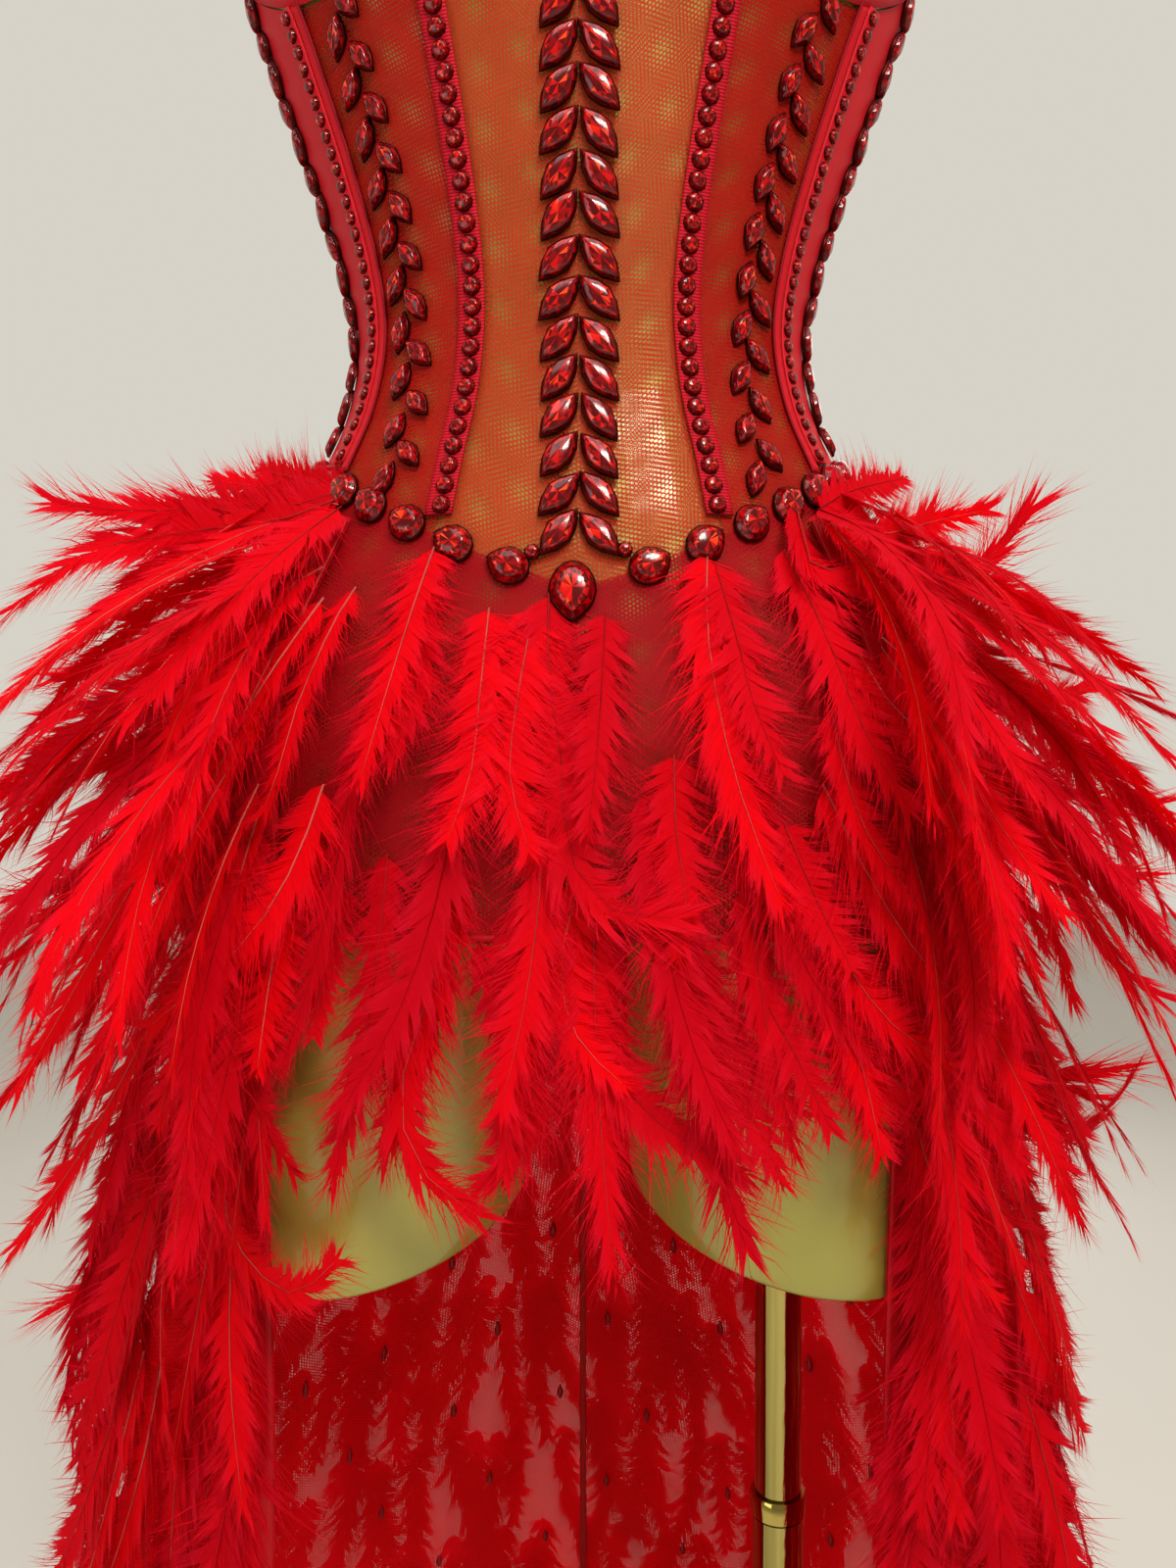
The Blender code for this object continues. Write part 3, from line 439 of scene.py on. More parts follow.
def clothShell(name, columns, rows, place, stuff, nodes=(), thick=0.0):
    bm = bmesh.new()
    bmesh.ops.create_grid(bm, x_segments=columns, y_segments=rows, size=0.5)
    order = sorted(bm.verts, key=lambda v: (round(v.co.y, 5), round(v.co.x, 5)))
    high = len({round(v.co.y, 5) for v in order})
    spots = np.array([place(v.co.x + 0.5, v.co.y + 0.5) for v in order]).reshape(high, -1, 3)
    across = np.linalg.norm(np.diff(spots, axis=1), axis=2).cumsum(axis=1)
    across = np.pad(across, ((0, 0), (1, 0)))
    across -= across[:, across.shape[1] // 2, None]
    along = np.pad(np.linalg.norm(np.diff(spots, axis=0), axis=2).cumsum(axis=0), ((1, 0), (0, 0)))
    reach = {}
    for vert, spot, a, b in zip(order, spots.reshape(-1, 3), across.ravel(), along.ravel()):
        vert.co = spot
        reach[vert] = (a, b)
    layer = bm.loops.layers.uv.new("cloth")
    for face in bm.faces:
        for loop in face.loops:
            loop[layer].uv = reach[loop.vert]
    piece = fromBmesh(name, bm, stuff, nodes)
    if thick:
        wall = piece.modifiers.new("cloth thickness", "SOLIDIFY")
        wall.thickness = thick
        wall.offset = 0.0
    total = sum(face.area for face in piece.data.polygons)
    print(name, f"{np.ptp(across):.3f} x {along.max():.3f} m, {total:.4f} m2")
    return piece


def creaseOut(x, z, creases):  # soft ridges and troughs: x, z, heading, half length, half width, height
    total = 0.0
    for cx, cz, heading, halfLength, halfWidth, height in creases:
        turn = math.radians(heading)
        along = (x - cx) * math.cos(turn) + (z - cz) * math.sin(turn)
        off = (z - cz) * math.cos(turn) - (x - cx) * math.sin(turn)
        total += height * math.exp(-((along / halfLength) ** 2) - (off / halfWidth) ** 2)
    return total


sewnOn = {}  # trims by the name of the cloth that they are sewn to


def panelShell(name, node, start, end, columns, rows, high, out, stuff, cut):
    start, end = min(start, end), max(start, end)

    def place(u, v):
        angle = start + (end - start) * u
        return onBody(angle, waistZ(angle) + (high(angle) - waistZ(angle)) * v, out)

    piece = clothShell(name, columns, rows, place, stuff, [node])
    return piece


def tubeMesh(name, rings):  # rings of points, closed at both ends
    bm = bmesh.new()
    ring = bmesh.ops.create_circle(bm, cap_ends=True, segments=len(rings[0]), radius=1.0)["verts"]
    ring.sort(key=lambda v: math.atan2(v.co.y, v.co.x))
    face = ring[0].link_faces[0]
    for vert, spot in zip(ring, rings[0]):
        vert.co = spot
    for spots in rings[1:]:
        grown = bmesh.ops.extrude_face_region(bm, geom=[face])["geom"]
        newFace = next(g for g in grown if isinstance(g, bmesh.types.BMFace))
        if face.is_valid:
            bm.faces.remove(face)
        inside = set(newFace.verts)
        ring = [next(e.other_vert(v) for e in v.link_edges if e.other_vert(v) in inside) for v in ring]
        for vert, spot in zip(ring, spots):
            vert.co = spot
        face = newFace
    edges = [e for e in bm.edges if e.is_boundary]
    if edges:
        bmesh.ops.contextual_create(bm, geom=edges)
    bmesh.ops.recalc_face_normals(bm, faces=bm.faces[:])
    return fromBmesh(name, bm, goldCover)


def makeForm():
    look = {
        "columns": 96, "levels": 110, "stubLevels": 34, "roundLevels": 4, "edgeRound": 0.005,
        "inset": -0.0008, "bustShare": 0.85, "cutSide": -0.20, "cutBack": 0.22,
    }
    low, high = bodyRows[0][0], bodyRows[-1][0]
    turn = 360.0 / look["columns"]
    rings = []
    for k in range(look["levels"] + 1):
        z = low + (high - low) * k / look["levels"]
        angles = [-180.0 + i * turn for i in range(look["columns"])]
        rings.append([onBody(angle, z, look["inset"], look["bustShare"]) for angle in angles])
    piece = tubeMesh("dressForm", rings)
    bottom, top = thighRows[0][0], thighRows[-1][0]
    for sign in (-1, 1):
        rings = []
        for k in range(look["stubLevels"] + look["roundLevels"]):
            inset = 0.0
            if k < look["roundLevels"]:
                bend = math.pi / 2.0 * k / look["roundLevels"]
                inset = look["edgeRound"] * (1.0 - math.sin(bend))
                z = bottom + look["edgeRound"] * (1.0 - math.cos(bend))
            else:
                start = bottom + look["edgeRound"]
                z = start + (top - start) * (k - look["roundLevels"] + 1) / look["stubLevels"]
            x, halfWidth, halfDepth = rowAt(thighRows, z)
            ring = []
            for i in range(look["columns"]):
                a = -math.pi + 2.0 * math.pi * i / look["columns"]
                px = sign * x + (halfWidth - inset) * math.cos(a)
                py = (halfDepth - inset) * math.sin(a)
                cut = bottom + look["cutSide"] * (abs(px) - thighRows[0][1]) + look["cutBack"] * py
                ring.append(Vector((px, py, cut + (z - bottom) * (top - cut) / (top - bottom))))
            rings.append(ring)
        stub = tubeMesh("stub", rings)
        join = piece.modifiers.new("one skin", "BOOLEAN")
        join.operation = "UNION"
        join.object = stub
        bpy.context.view_layer.update()
        evaluated = piece.evaluated_get(bpy.context.evaluated_depsgraph_get())
        mesh = bpy.data.meshes.new_from_object(evaluated)
        piece.modifiers.clear()
        piece.data = mesh
        bpy.data.objects.remove(stub)
    piece.data.shade_smooth()
    piece.data.set_sharp_from_angle(angle=math.radians(40.0))
    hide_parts("dress_form")
    print("dress form skin:", len(piece.data.polygons), "faces")


def turned(name, profile, x, stuff, nodes, steps=64):  # a profile of (radius, z) spun round an upright axis
    bm = bmesh.new()
    verts = [bm.verts.new((x + r, 0.0, z)) for r, z in profile]
    edges = [bm.edges.new(pair) for pair in zip(verts, verts[1:])]
    bmesh.ops.spin(
        bm, geom=verts + edges, cent=(x, 0.0, 0.0), axis=(0.0, 0.0, 1.0), angle=2.0 * math.pi,
        steps=steps, use_merge=True,
    )
    bmesh.ops.remove_doubles(bm, verts=bm.verts[:], dist=0.00001)
    bmesh.ops.recalc_face_normals(bm, faces=bm.faces[:])
    piece = fromBmesh(name, bm, stuff, nodes)
    piece.data.set_sharp_from_angle(angle=math.radians(35.0))
    return piece


stand = {  # profiles of (radius, height) in metres
    "poleX": 0.107, "capHigh": 0.0125, "capRound": 0.005,
    "upper": [(0.0, 0.4783), (0.0125, 0.4783), (0.0125, 0.7097), (0.0, 0.7097)],
    "lower": [(0.0, 0.0102), (0.0140, 0.0102), (0.0140, 0.4652), (0.0, 0.4652)],
    "ring": [
        (0.0, 0.466), (0.0143, 0.466), (0.0150, 0.4668), (0.0150, 0.4770), (0.0143, 0.478), (0.0, 0.478),
    ],
    "plate": [(0.0, 0.0), (0.1745, 0.0), (0.175, 0.0008), (0.175, 0.0055), (0.1735, 0.0072), (0.171, 0.008),
              (0.0, 0.008)],
    "boss": [(0.0143, 0.0085), (0.024, 0.0085), (0.024, 0.0355), (0.0232, 0.0372), (0.0215, 0.038),
             (0.0143, 0.038)],
}


def makeStand():
    x = stand["poleX"]
    turned("poleUpper", stand["upper"], x, poleBrassWithPaintedStreaks, ["pole_upper"])
    turned("poleLower", stand["lower"], x, poleBrassWithPaintedStreaks, ["pole_lower"])
    turned("poleRing", stand["ring"], x, brass, ["pole_ring"])
    turned("basePlate", stand["plate"], 0.0, brass, ["base_plate"], 96)
    turned("poleBoss", stand["boss"], x, brass, [])
    top = bodyRows[-1]
    bm = bmesh.new()
    disc = bmesh.ops.create_circle(bm, cap_ends=True, segments=48, radius=1.0)["verts"]
    for vert in disc:
        angle = math.degrees(math.atan2(vert.co.x, -vert.co.y))
        vert.co = onOval(angle, top[0] + 0.0006, top[1], top[2], top[3], 0.0015)
    face = disc[0].link_faces[0]
    thick = bmesh.ops.extrude_face_region(bm, geom=[face])["geom"]
    upper = [g for g in thick if isinstance(g, bmesh.types.BMVert)]
    bmesh.ops.translate(bm, vec=(0.0, 0.0, stand["capHigh"]), verts=upper)
    bmesh.ops.recalc_face_normals(bm, faces=bm.faces[:])
    rim = [e for e in bm.edges if e.verts[0] in upper and e.verts[1] in upper]
    soft = stand["capRound"]
    bmesh.ops.bevel(bm, geom=rim, offset=soft, segments=4, profile=0.5, affect="EDGES", material=-1)
    fromBmesh("neckCap", bm, brass, ["neck_cap"]).data.set_sharp_from_angle(angle=math.radians(35.0))


makeForm()
makeStand()
print("form and stand made")


def belowCups(angle):
    return cupSeamZ(angle) - corset["edgeGap"]


def makeCorset():
    netOut = corset["clear"] + corset["wall"] * 0.5
    seam, levels = corset["seamDeg"], corset["levels"]
    front, side, far = corset["casingFront"], corset["casingSide"], corset["sideSeam"]
    panels = (  # piece, node, start and end angle, columns, upper edge, cloth
        ("netSideFront", "panel_side_front", front, side, 30, belowCups, sideNet),
        ("satinSide", "panel_side", side, far, 26, belowCups, sideSatin),
        ("netBack", "panel_back", far, 180.0, 60, backTopZ, sideNet),
    )
    panelShell("netCentreFront", "panel_centre_front", -front + seam, front - seam, 40, 64, belowCups,
               netOut, clothNet, "netCentreFront")
    for word, sign in (("Left", -1), ("Right", 1)):
        node = word.lower()
        for name, part, start, end, columns, upper, stuff in panels:
            panelShell(f"{name}{word}", f"{part}_{node}", sign * (start + seam), sign * (end - seam),
                       columns, levels, upper, netOut, stuff, name)

        def placeCup(u, v, sign=sign):
            ends = sorted((sign * corset["cupStart"], sign * (far - seam)))
            angle = ends[0] + (ends[1] - ends[0]) * u
            low, high = cupSeamZ(angle), cupTopZ(angle)
            return onBody(angle, low + (high - low) * v, corset["clear"] + corset["cupOut"])

        cup = clothShell(f"cup{word}", 48, 24, placeCup, sideSatin, [f"cup_{node}"], corset["cupWall"])

    def placeClosure(u, v):
        angle = 180.0 + corset["closureDeg"] * (u - 0.5)
        low, high = waistZ(angle), backTopZ(angle)
        return onBody(angle, low + (high - low) * v, corset["trimOut"] + 0.0006)

    wall = corset["closureWall"]
    closure = clothShell("backClosure", 8, levels, placeClosure, bandSatin, ["back_closure"], wall)


skirtCreases = [  # x across the front, z, heading, half length, half width, height
    (-0.105, 0.940, 24.0, 0.040, 0.0025, 0.0007), (-0.085, 0.925, 31.0, 0.050, 0.0030, 0.0006),
    (-0.120, 0.915, 12.0, 0.030, 0.0022, -0.0006), (-0.060, 0.905, 42.0, 0.030, 0.0025, 0.0005),
    (0.095, 0.935, -28.0, 0.045, 0.0028, 0.0006), (0.120, 0.915, -18.0, 0.030, 0.0024, 0.0007),
    (0.070, 0.905, -45.0, 0.035, 0.0030, -0.0005), (0.020, 0.880, 8.0, 0.050, 0.0035, 0.0005),
    (-0.030, 0.850, -14.0, 0.040, 0.0030, 0.0005), (0.110, 0.850, 20.0, 0.040, 0.0035, 0.0006),
]


def makeSkirt():
    def skirtEdge(u):
        angle = -skirt["side"] + 2.0 * skirt["side"] * u
        return angle, skirt["hemZ"] + skirt["hemRise"] * math.cos(math.radians(angle)) ** 2

    def place(u, v):
        angle, low = skirtEdge(u)
        z = low + (waistZ(angle) + 0.0006 - low) * v
        spot = skirtPoint(angle, z, 0.0)
        return skirtPoint(angle, z, corset["clear"] + 0.0006 + creaseOut(spot.x, z, skirtCreases))

    piece = clothShell("skirtFront", 120, 56, place, skirtNet, ["skirt_front"])

    def placeHem(u, v):
        angle, low = skirtEdge(u)
        return skirtPoint(angle, low + skirt["hemWide"] * v, corset["clear"] + 0.0009)

    sewnOn["skirtFront"] = [clothShell("skirtHem", 120, 2, placeHem, bandSatin, [], corset["tapeWall"])]


def makeTrain():
    def levelZ(share, v):
        angle = trainAngle(share)
        step = train["edgeStep"] * (1.0 - smoothStep((abs(angle) - 76.0) / 10.0))
        top = waistZ(angle) - corset["edgeGap"] - step
        return top * (1.0 - v)

    def ripple(share, z):  # small uneven creases between the main folds
        growth = smoothStep((train["rippleStart"] - z) / 0.5)
        fine = math.sin(71.0 * share + 3.0 * math.sin(6.0 * z)) + 0.6 * math.sin(133.0 * share + 9.0 * z)
        return train["ripple"] * growth * fine

    gores = (
        ("trainSideLeft", "train_side_left", "skirtFront"),
        ("trainBackLeft", "train_back_left", "netBackLeft"),
        ("trainBackRight", "train_back_right", "netBackRight"),
        ("trainSideRight", "train_side_right", "skirtFront"),
    )
    for number, (name, node, under) in enumerate(gores):

        def place(u, v, number=number):
            share = (number + u) / 4.0
            z = levelZ(share, v)
            flat = smoothStep(min(share, 1.0 - share) / 0.06)
            return trainPoint(share, z, corset["wall"] * 0.5 + ripple(share, z) * flat)

        piece = clothShell(name, 76, 90, place, trainNet, [node])
    for number, (name, node, under) in enumerate(gores[:3], 1):

        def placeSeam(u, v, number=number):
            share = number / 4.0 + train["seamShare"] * (u - 0.5)
            z = levelZ(share, v)
            return trainPoint(share, z, -0.0004 + ripple(share, z))

        seam = clothShell(f"trainSeam{number}", 4, 90, placeSeam, bandSatin, [], corset["tapeWall"])
        sewnOn[name] = [seam]
    wide = train["edgeShare"] + (1.0 - 2.0 * train["edgeShare"]) / train["columns"]
    for word, start in (("Left", 0.0), ("Right", 1.0 - wide)):

        def placeBand(u, v, start=start):
            share = start + wide * u
            z = levelZ(share, v)
            return trainPoint(share, z, corset["wall"] * 1.5 + 0.0005)

        node = f"train_band_{word.lower()}"
        band = clothShell(f"trainBand{word}", 10, 90, placeBand, bandSatin, [node], corset["tapeWall"])


makeCorset()
makeSkirt()
makeTrain()
print("cloth made")


# Cut stones in their cup settings
def marquise(angle):
    x, y = math.cos(angle), math.sin(angle)
    return math.copysign(1.0 - abs(y) ** 1.8, x), y


def pear(angle):
    x, y = math.cos(angle), math.sin(angle)
    return x * (1.0 - 0.55 * max(y, 0.0) ** 2.2), y


def roundCut(angle):
    return math.cos(angle), math.sin(angle)


stoneCut = {  # rings by their share of the outline and of the stone's height
    "crown": ((0.99, 0.25), (0.78, 0.80), (0.50, 1.0)), "rise": 0.04, "dip": 0.03,
    "cup": ((1.05, -0.0008), (1.07, 0.0002)), "rim": ((1.04, 0.26), (0.97, 0.30)),  # cup heights in metres
    "claw": (0.0006, 0.0003), "clawHigh": 0.36, "clawAt": 0.46, "clawLean": 1.4,
}


def stoneClaws(bm, outline, width, length, height):
    wide, fine = stoneCut["claw"]
    high, at = height * stoneCut["clawHigh"], stoneCut["clawAt"]
    for quarter in (0.5, 1.5, 2.5, 3.5):
        x, y = outline(quarter * math.pi / 2.0)
        claw = bmesh.ops.create_cone(
            bm, cap_ends=True, segments=4, radius1=wide, radius2=fine, depth=high
        )["verts"]
        lean = Vector((-x, -y, stoneCut["clawLean"])).normalized()
        turn = lean.to_track_quat("Z", "Y").to_matrix()
        for vert in claw:
            vert.co = turn @ vert.co + Vector((x * width * at, y * length * at, high))


def facetPlace(face):  # facets are counted from the girdle up, so that each run gives the same stone
    centre = face.calc_center_median()
    return round(centre.z, 5), round(centre.x, 5), round(centre.y, 5)


def stoneShape(outline, width, length, height, sides, seed):
    dice = random.Random(seed)
    bm = bmesh.new()
    # spark: a painted glint value for each facet
    spark = bm.faces.layers.float.new("spark")
    vertAngle = {}

    def ring(size, z, verts, below=()):
        for vert in verts:
            if below:  # a grown point keeps the angle of the one that it grew from
                twin = next(e.other_vert(vert) for e in vert.link_edges if e.other_vert(vert) in below)
                vertAngle[vert] = vertAngle[twin]
            else:
                vertAngle[vert] = math.atan2(vert.co.y, vert.co.x)
            x, y = outline(vertAngle[vert])
            vert.co = (x * width * 0.5 * size, y * length * 0.5 * size, z)
        return set(verts)

    girdle = bmesh.ops.create_circle(bm, cap_ends=True, segments=sides, radius=1.0)["verts"]
    below = ring(1.0, 0.0, girdle)
    current = girdle[0].link_faces[0]
    for size, share in stoneCut["crown"]:
        grown = bmesh.ops.extrude_face_region(bm, geom=[current])["geom"]
        current = next(g for g in grown if isinstance(g, bmesh.types.BMFace))
        below = ring(size, height * share, current.verts[:], below)
    bmesh.ops.recalc_face_normals(bm, faces=bm.faces[:])
    crown = [f for f in bm.faces if height * 0.3 < f.calc_center_median().z and len(f.verts) == 4]
    bmesh.ops.poke(bm, faces=crown, offset=height * stoneCut["rise"])
    bmesh.ops.poke(bm, faces=[current], offset=-height * stoneCut["dip"])
    bmesh.ops.triangulate(bm, faces=bm.faces[:])
    # painted glints: each facet gets a fixed random brightness, stronger towards the table, whatever the
    # lamps do
    for face in sorted(bm.faces, key=facetPlace):
        inner = smoothStep((face.calc_center_median().z / height - 0.55) / 0.4)
        face[spark] = dice.random() ** 1.9 * (0.60 + 0.40 * inner)
        face.material_index = 0
    glass = set(bm.faces)
    first, second = stoneCut["cup"]
    rim = bmesh.ops.create_circle(bm, cap_ends=False, segments=sides, radius=1.0)["verts"]
    below = ring(*first, rim)
    edges = list({e for v in rim for e in v.link_edges})
    for size, z in (second, *((size, height * share) for size, share in stoneCut["rim"])):
        grown = bmesh.ops.extrude_edge_only(bm, edges=edges)["geom"]
        below = ring(size, z, [g for g in grown if isinstance(g, bmesh.types.BMVert)], below)
        edges = [g for g in grown if isinstance(g, bmesh.types.BMEdge)]
    stoneClaws(bm, outline, width, length, height)
    rest = [f for f in bm.faces if f not in glass]
    bmesh.ops.recalc_face_normals(bm, faces=rest)
    bmesh.ops.triangulate(bm, faces=rest)
    for face in bm.faces:
        if face not in glass:
            face.material_index = 1
            face[spark] = 0.0
    bm.verts.index_update()
    shape = {
        "points": np.array([v.co[:] for v in bm.verts]),
        "corners": np.array([[v.index for v in f.verts] for f in bm.faces]),
        "slots": np.array([f.material_index for f in bm.faces]),
        "spark": np.array([f[spark] for f in bm.faces]),
    }
    bm.free()
    return shape


def arrayMesh(name, points, corners):
    mesh = bpy.data.meshes.new(name)
    mesh.vertices.add(len(points))
    mesh.vertices.foreach_set("co", np.ascontiguousarray(points, dtype=np.float32).ravel())
    mesh.loops.add(corners.size)
    mesh.loops.foreach_set("vertex_index", np.ascontiguousarray(corners, dtype=np.int32).ravel())
    mesh.polygons.add(len(corners))
    mesh.polygons.foreach_set("loop_start", np.arange(0, corners.size, 3, dtype=np.int32))
    mesh.update(calc_edges=True)
    return mesh


def setStones(name, shapes, seats, nodes=()):  # joined copies: seats are (position, 3x3 turn)
    points, corners, slots, paintedGlints = [], [], [], []
    count = 0
    for number, (spot, turn) in enumerate(seats):
        shape = shapes[number % len(shapes)]
        points.append(shape["points"] @ np.array(turn).T + np.array(spot))
        corners.append(shape["corners"] + count)
        slots.append(shape["slots"])
        paintedGlints.append(shape["spark"])
        count += len(shape["points"])
    mesh = arrayMesh(name, np.concatenate(points), np.concatenate(corners))
    mesh.polygons.foreach_set("material_index", np.concatenate(slots).astype(np.int32))
    # the painted facet glints, read by the ruby material
    field = mesh.attributes.new("spark", "FLOAT", "FACE")
    field.data.foreach_set("value", np.concatenate(paintedGlints).astype(np.float32))
    return settle(name, mesh, [ruby, setting], nodes, smooth=False)


def seatOn(angle, z, out, turnDeg=0.0, tiltDeg=0.0):
    spot = onBody(angle, z, out)
    across = (onBody(angle + 0.5, z, out) - onBody(angle - 0.5, z, out)).normalized()
    up = onBody(angle, z + 0.002, out) - onBody(angle, z - 0.002, out)
    up = (up - across * up.dot(across)).normalized()
    turn = Matrix((across, up, across.cross(up))).transposed()
    turn = turn @ Matrix.Rotation(math.radians(turnDeg), 3, "Z")
    return spot, turn @ Matrix.Rotation(math.radians(tiltDeg), 3, "X")


def aboveWaist(angle):
    return waistZ(angle) + corset["pearBand"] * 0.5 + corset["stoneClear"]


def underCups(angle):
    return cupSeamZ(angle) - corset["stoneClear"]


def tapeStrip(name, node, centre, inner, outer, stuff, thick, panel):
    def place(u, v):
        z = aboveWaist(centre) + (underCups(centre) - aboveWaist(centre)) * v
        return onBody(centre + arcDeg(centre, z, inner + (outer - inner) * u), z, corset["trimOut"] - 0.0002)

    piece = clothShell(name, 6, 60, place, stuff, [node] if node else [], thick)
    sewnOn.setdefault(panel, []).append(piece)


casings = {  # tape half widths, stone diameters, heights and pitches, in metres
    "front": {
        "half": 0.0064, "stone": 0.0086, "high": 0.0028, "pitch": 0.0092, "shift": 0.0008, "up": 0.0002,
        "seeds": (1, 2, 3, 4), "spin": 40.0,
    },
    "side": {
        "half": 0.0043, "stone": 0.0062, "high": 0.0022, "pitch": 0.0078, "shift": 0.0, "up": 0.0003,
        "seeds": (5, 6, 7), "spin": 53.0,
    },
    "thick": 0.0010, "facing": (0.0045, 0.0100), "pipe": 0.0007, "pipeAt": 0.0101, "inset": 0.004,
}


def makeCasings():
    cuts = {}
    for place in ("front", "side"):
        look = casings[place]
        size = (look["stone"], look["stone"], look["high"], 10)
        cuts[place] = [stoneShape(roundCut, *size, seed) for seed in look["seeds"]]
    near, far = casings["facing"]
    for word, sign in (("Left", -1), ("Right", 1)):
        for place, stuff, under in (("front", tape, "netSideFront"), ("side", sideSatin, "satinSide")):
            look, title = casings[place], place.capitalize()
            centre = sign * corset["casing" + title]
            half = look["half"]
            node = f"casing_{place}_{word.lower()}"
            name = f"casing{title}{word}"
            tapeStrip(name, node, centre, -half, half, stuff, casings["thick"], under + word)
            low, high = aboveWaist(centre), underCups(centre)
            count = round((high - low) / look["pitch"])
            seats = []
            for i in range(count):
                z = low + (high - low) * (i + 0.5) / count
                angle = centre + arcDeg(centre, z, -sign * look["shift"])
                seats.append(seatOn(angle, z, corset["trimOut"] + look["up"], look["spin"] * i))
            setStones(f"rounds{title}{word}", cuts[place], seats)

        def besideCasing(v, across, out, at=sign * corset["casingSide"]):
            z = waistZ(at) + casings["inset"]
            z += (underCups(at) - z) * v
            return onBody(at + arcDeg(at, z, across), z, corset["clear"] + corset["wall"] + out)

        def placeFacing(u, v, sign=sign, lay=besideCasing):
            reach = near + (far - near) * u if sign > 0 else far - (far - near) * u
            return lay(v, -sign * reach, 0.0005)

        facing = clothShell(f"satinFacing{word}", 4, 60, placeFacing, sideSatin, [], corset["tapeWall"])
        sewnOn[f"satinSide{word}"].append(facing)
        pipe = bpy.data.curves.new(f"piping{word}", "CURVE")
        pipe.dimensions = "3D"
        pipe.bevel_depth = casings["pipe"]
        pipe.bevel_resolution = 2
        line = pipe.splines.new("POLY")
        line.points.add(60)
        for i, point in enumerate(line.points):
            point.co = (*besideCasing(i / 60.0, -sign * casings["pipeAt"], 0.0008), 1.0)
        edge = bpy.data.objects.new(f"piping{word}", pipe)
        bpy.context.scene.collection.objects.link(edge)
        pipe.materials.append(tape)
        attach(edge, "root")


stones = {  # cut: outline, width, length, height, sides, seeds
    "leaf": (marquise, 0.0128, 0.0262, 0.0046, 12, (11, 12, 13, 14, 15)),
    "leafSmall": (marquise, 0.0104, 0.0192, 0.0036, 12, (21, 22, 23, 24, 25)),
    "drops": (pear, 0.0168, 0.0200, 0.0050, 14, (31, 32, 33)),
    "bigDrop": (pear, 0.0205, 0.0270, 0.0058, 16, (41,)),
    "bead": (roundCut, 0.0070, 0.0070, 0.0030, 10, (51,)),
}
stoneRows = {
    "pairs": 17, "slant": 0.009, "offset": 0.0090, "lean": 40.0, "low": 0.020, "top": 0.006,
    "garland": 20, "swing": 0.0052, "garlandLow": 37.0, "garlandTurn": 7.0, "side": 14, "sideAt": 76.0,
    "waist": 7, "waistFrom": 6.5,
}


def makeStones():
    cuts = {name: [stoneShape(*look[:5], seed) for seed in look[5]] for name, look in stones.items()}
    out = corset["trimOut"] - 0.0004
    dice = random.Random(8)
    rows = stoneRows
    low, high = waistZ(0.0) + rows["low"], cupSeamZ(0.0) - rows["top"]
    seats = []
    for i in range(rows["pairs"]):
        z = low + (high - low) * (i + 0.5) / rows["pairs"] - rows["slant"] * 0.5
        for sign in (-1, 1):
            angle = arcDeg(0.0, z, sign * rows["offset"])
            lean = sign * (rows["lean"] + dice.uniform(-4.0, 4.0))
            height = z + dice.uniform(-0.0006, 0.0006)
            seats.append(seatOn(angle, height, out, lean, dice.uniform(-4.0, 4.0)))
    setStones("stonesCentreFront", cuts["leaf"], seats, ["stones_centre_front"])
    for word, sign in (("Left", -1), ("Right", 1)):
        seats = []
        for i in range(rows["garland"]):
            v = (i + 0.5) / rows["garland"]
            middle = sign * (rows["garlandLow"] + rows["garlandTurn"] * smoothStep(v * 2.5))
            z = aboveWaist(middle) + (underCups(middle) - aboveWaist(middle)) * v
            swing = (1 if i % 2 else -1) * rows["swing"]
            lean = (38.0 if i % 2 else -24.0) + dice.uniform(-9.0, 9.0)
            angle = middle + arcDeg(middle, z, swing)
            seats.append(seatOn(angle, z, out, lean, dice.uniform(-8.0, 8.0)))
        setStones(f"stonesGarland{word}", cuts["leafSmall"], seats, [f"stones_garland_{word.lower()}"])
        seats = []
        angle = sign * rows["sideAt"]
        for i in range(rows["side"]):
            z = aboveWaist(angle) + (underCups(angle) - aboveWaist(angle)) * (i + 0.5) / rows["side"]
            seats.append(seatOn(angle, z, out, sign * (14.0 if i % 2 else -12.0), dice.uniform(-6.0, 6.0)))
        setStones(f"stonesSide{word}", cuts["leafSmall"], seats, [f"stones_side_{word.lower()}"])
    seats = []
    for sign in (-1, 1):
        for i in range(rows["waist"]):
            reach = rows["sideAt"] - rows["waistFrom"]
            angle = sign * (rows["waistFrom"] + reach * (i + 0.5) / rows["waist"])
            lean = sign * -(62.0 - 5.0 * i)
            seats.append(seatOn(angle, waistZ(angle), out, lean + dice.uniform(-8.0, 8.0), 0.0))
    setStones("stonesWaistline", cuts["drops"], seats, ["stones_waistline"])
    setStones("stoneDrop", cuts["bigDrop"], [seatOn(-1.0, waistZ(0.0) - 0.002, out + 0.0006, 180.0, 4.0)])
    beads = [seatOn(7.4, waistZ(0.0) + 0.017, out, 0.0), seatOn(-7.6, waistZ(0.0) + 0.016, out, 30.0)]
    setStones("stoneBeads", cuts["bead"], beads)


makeCasings()
makeStones()
print("casings and stones made")


# Plumes: each is a quill with many swept barbs, laid along a curved path
plumeLook = {
    "nominal": 0.180, "quillWidth": 0.0009, "quillSteps": 7, "ahead": -0.165, "aheadMost": 0.025,
    "vane": {
        "count": 60, "length": 0.027, "width": 0.0088, "taper": 0.45, "sweep": 34.0,
        "stray": 0.0, "fine": 2.0,
    },
    "down": {
        "count": 190, "length": 0.037, "width": 0.0008, "taper": 1.0, "sweep": 35.0,
        "stray": 0.25, "fine": 0.0,
    },
}


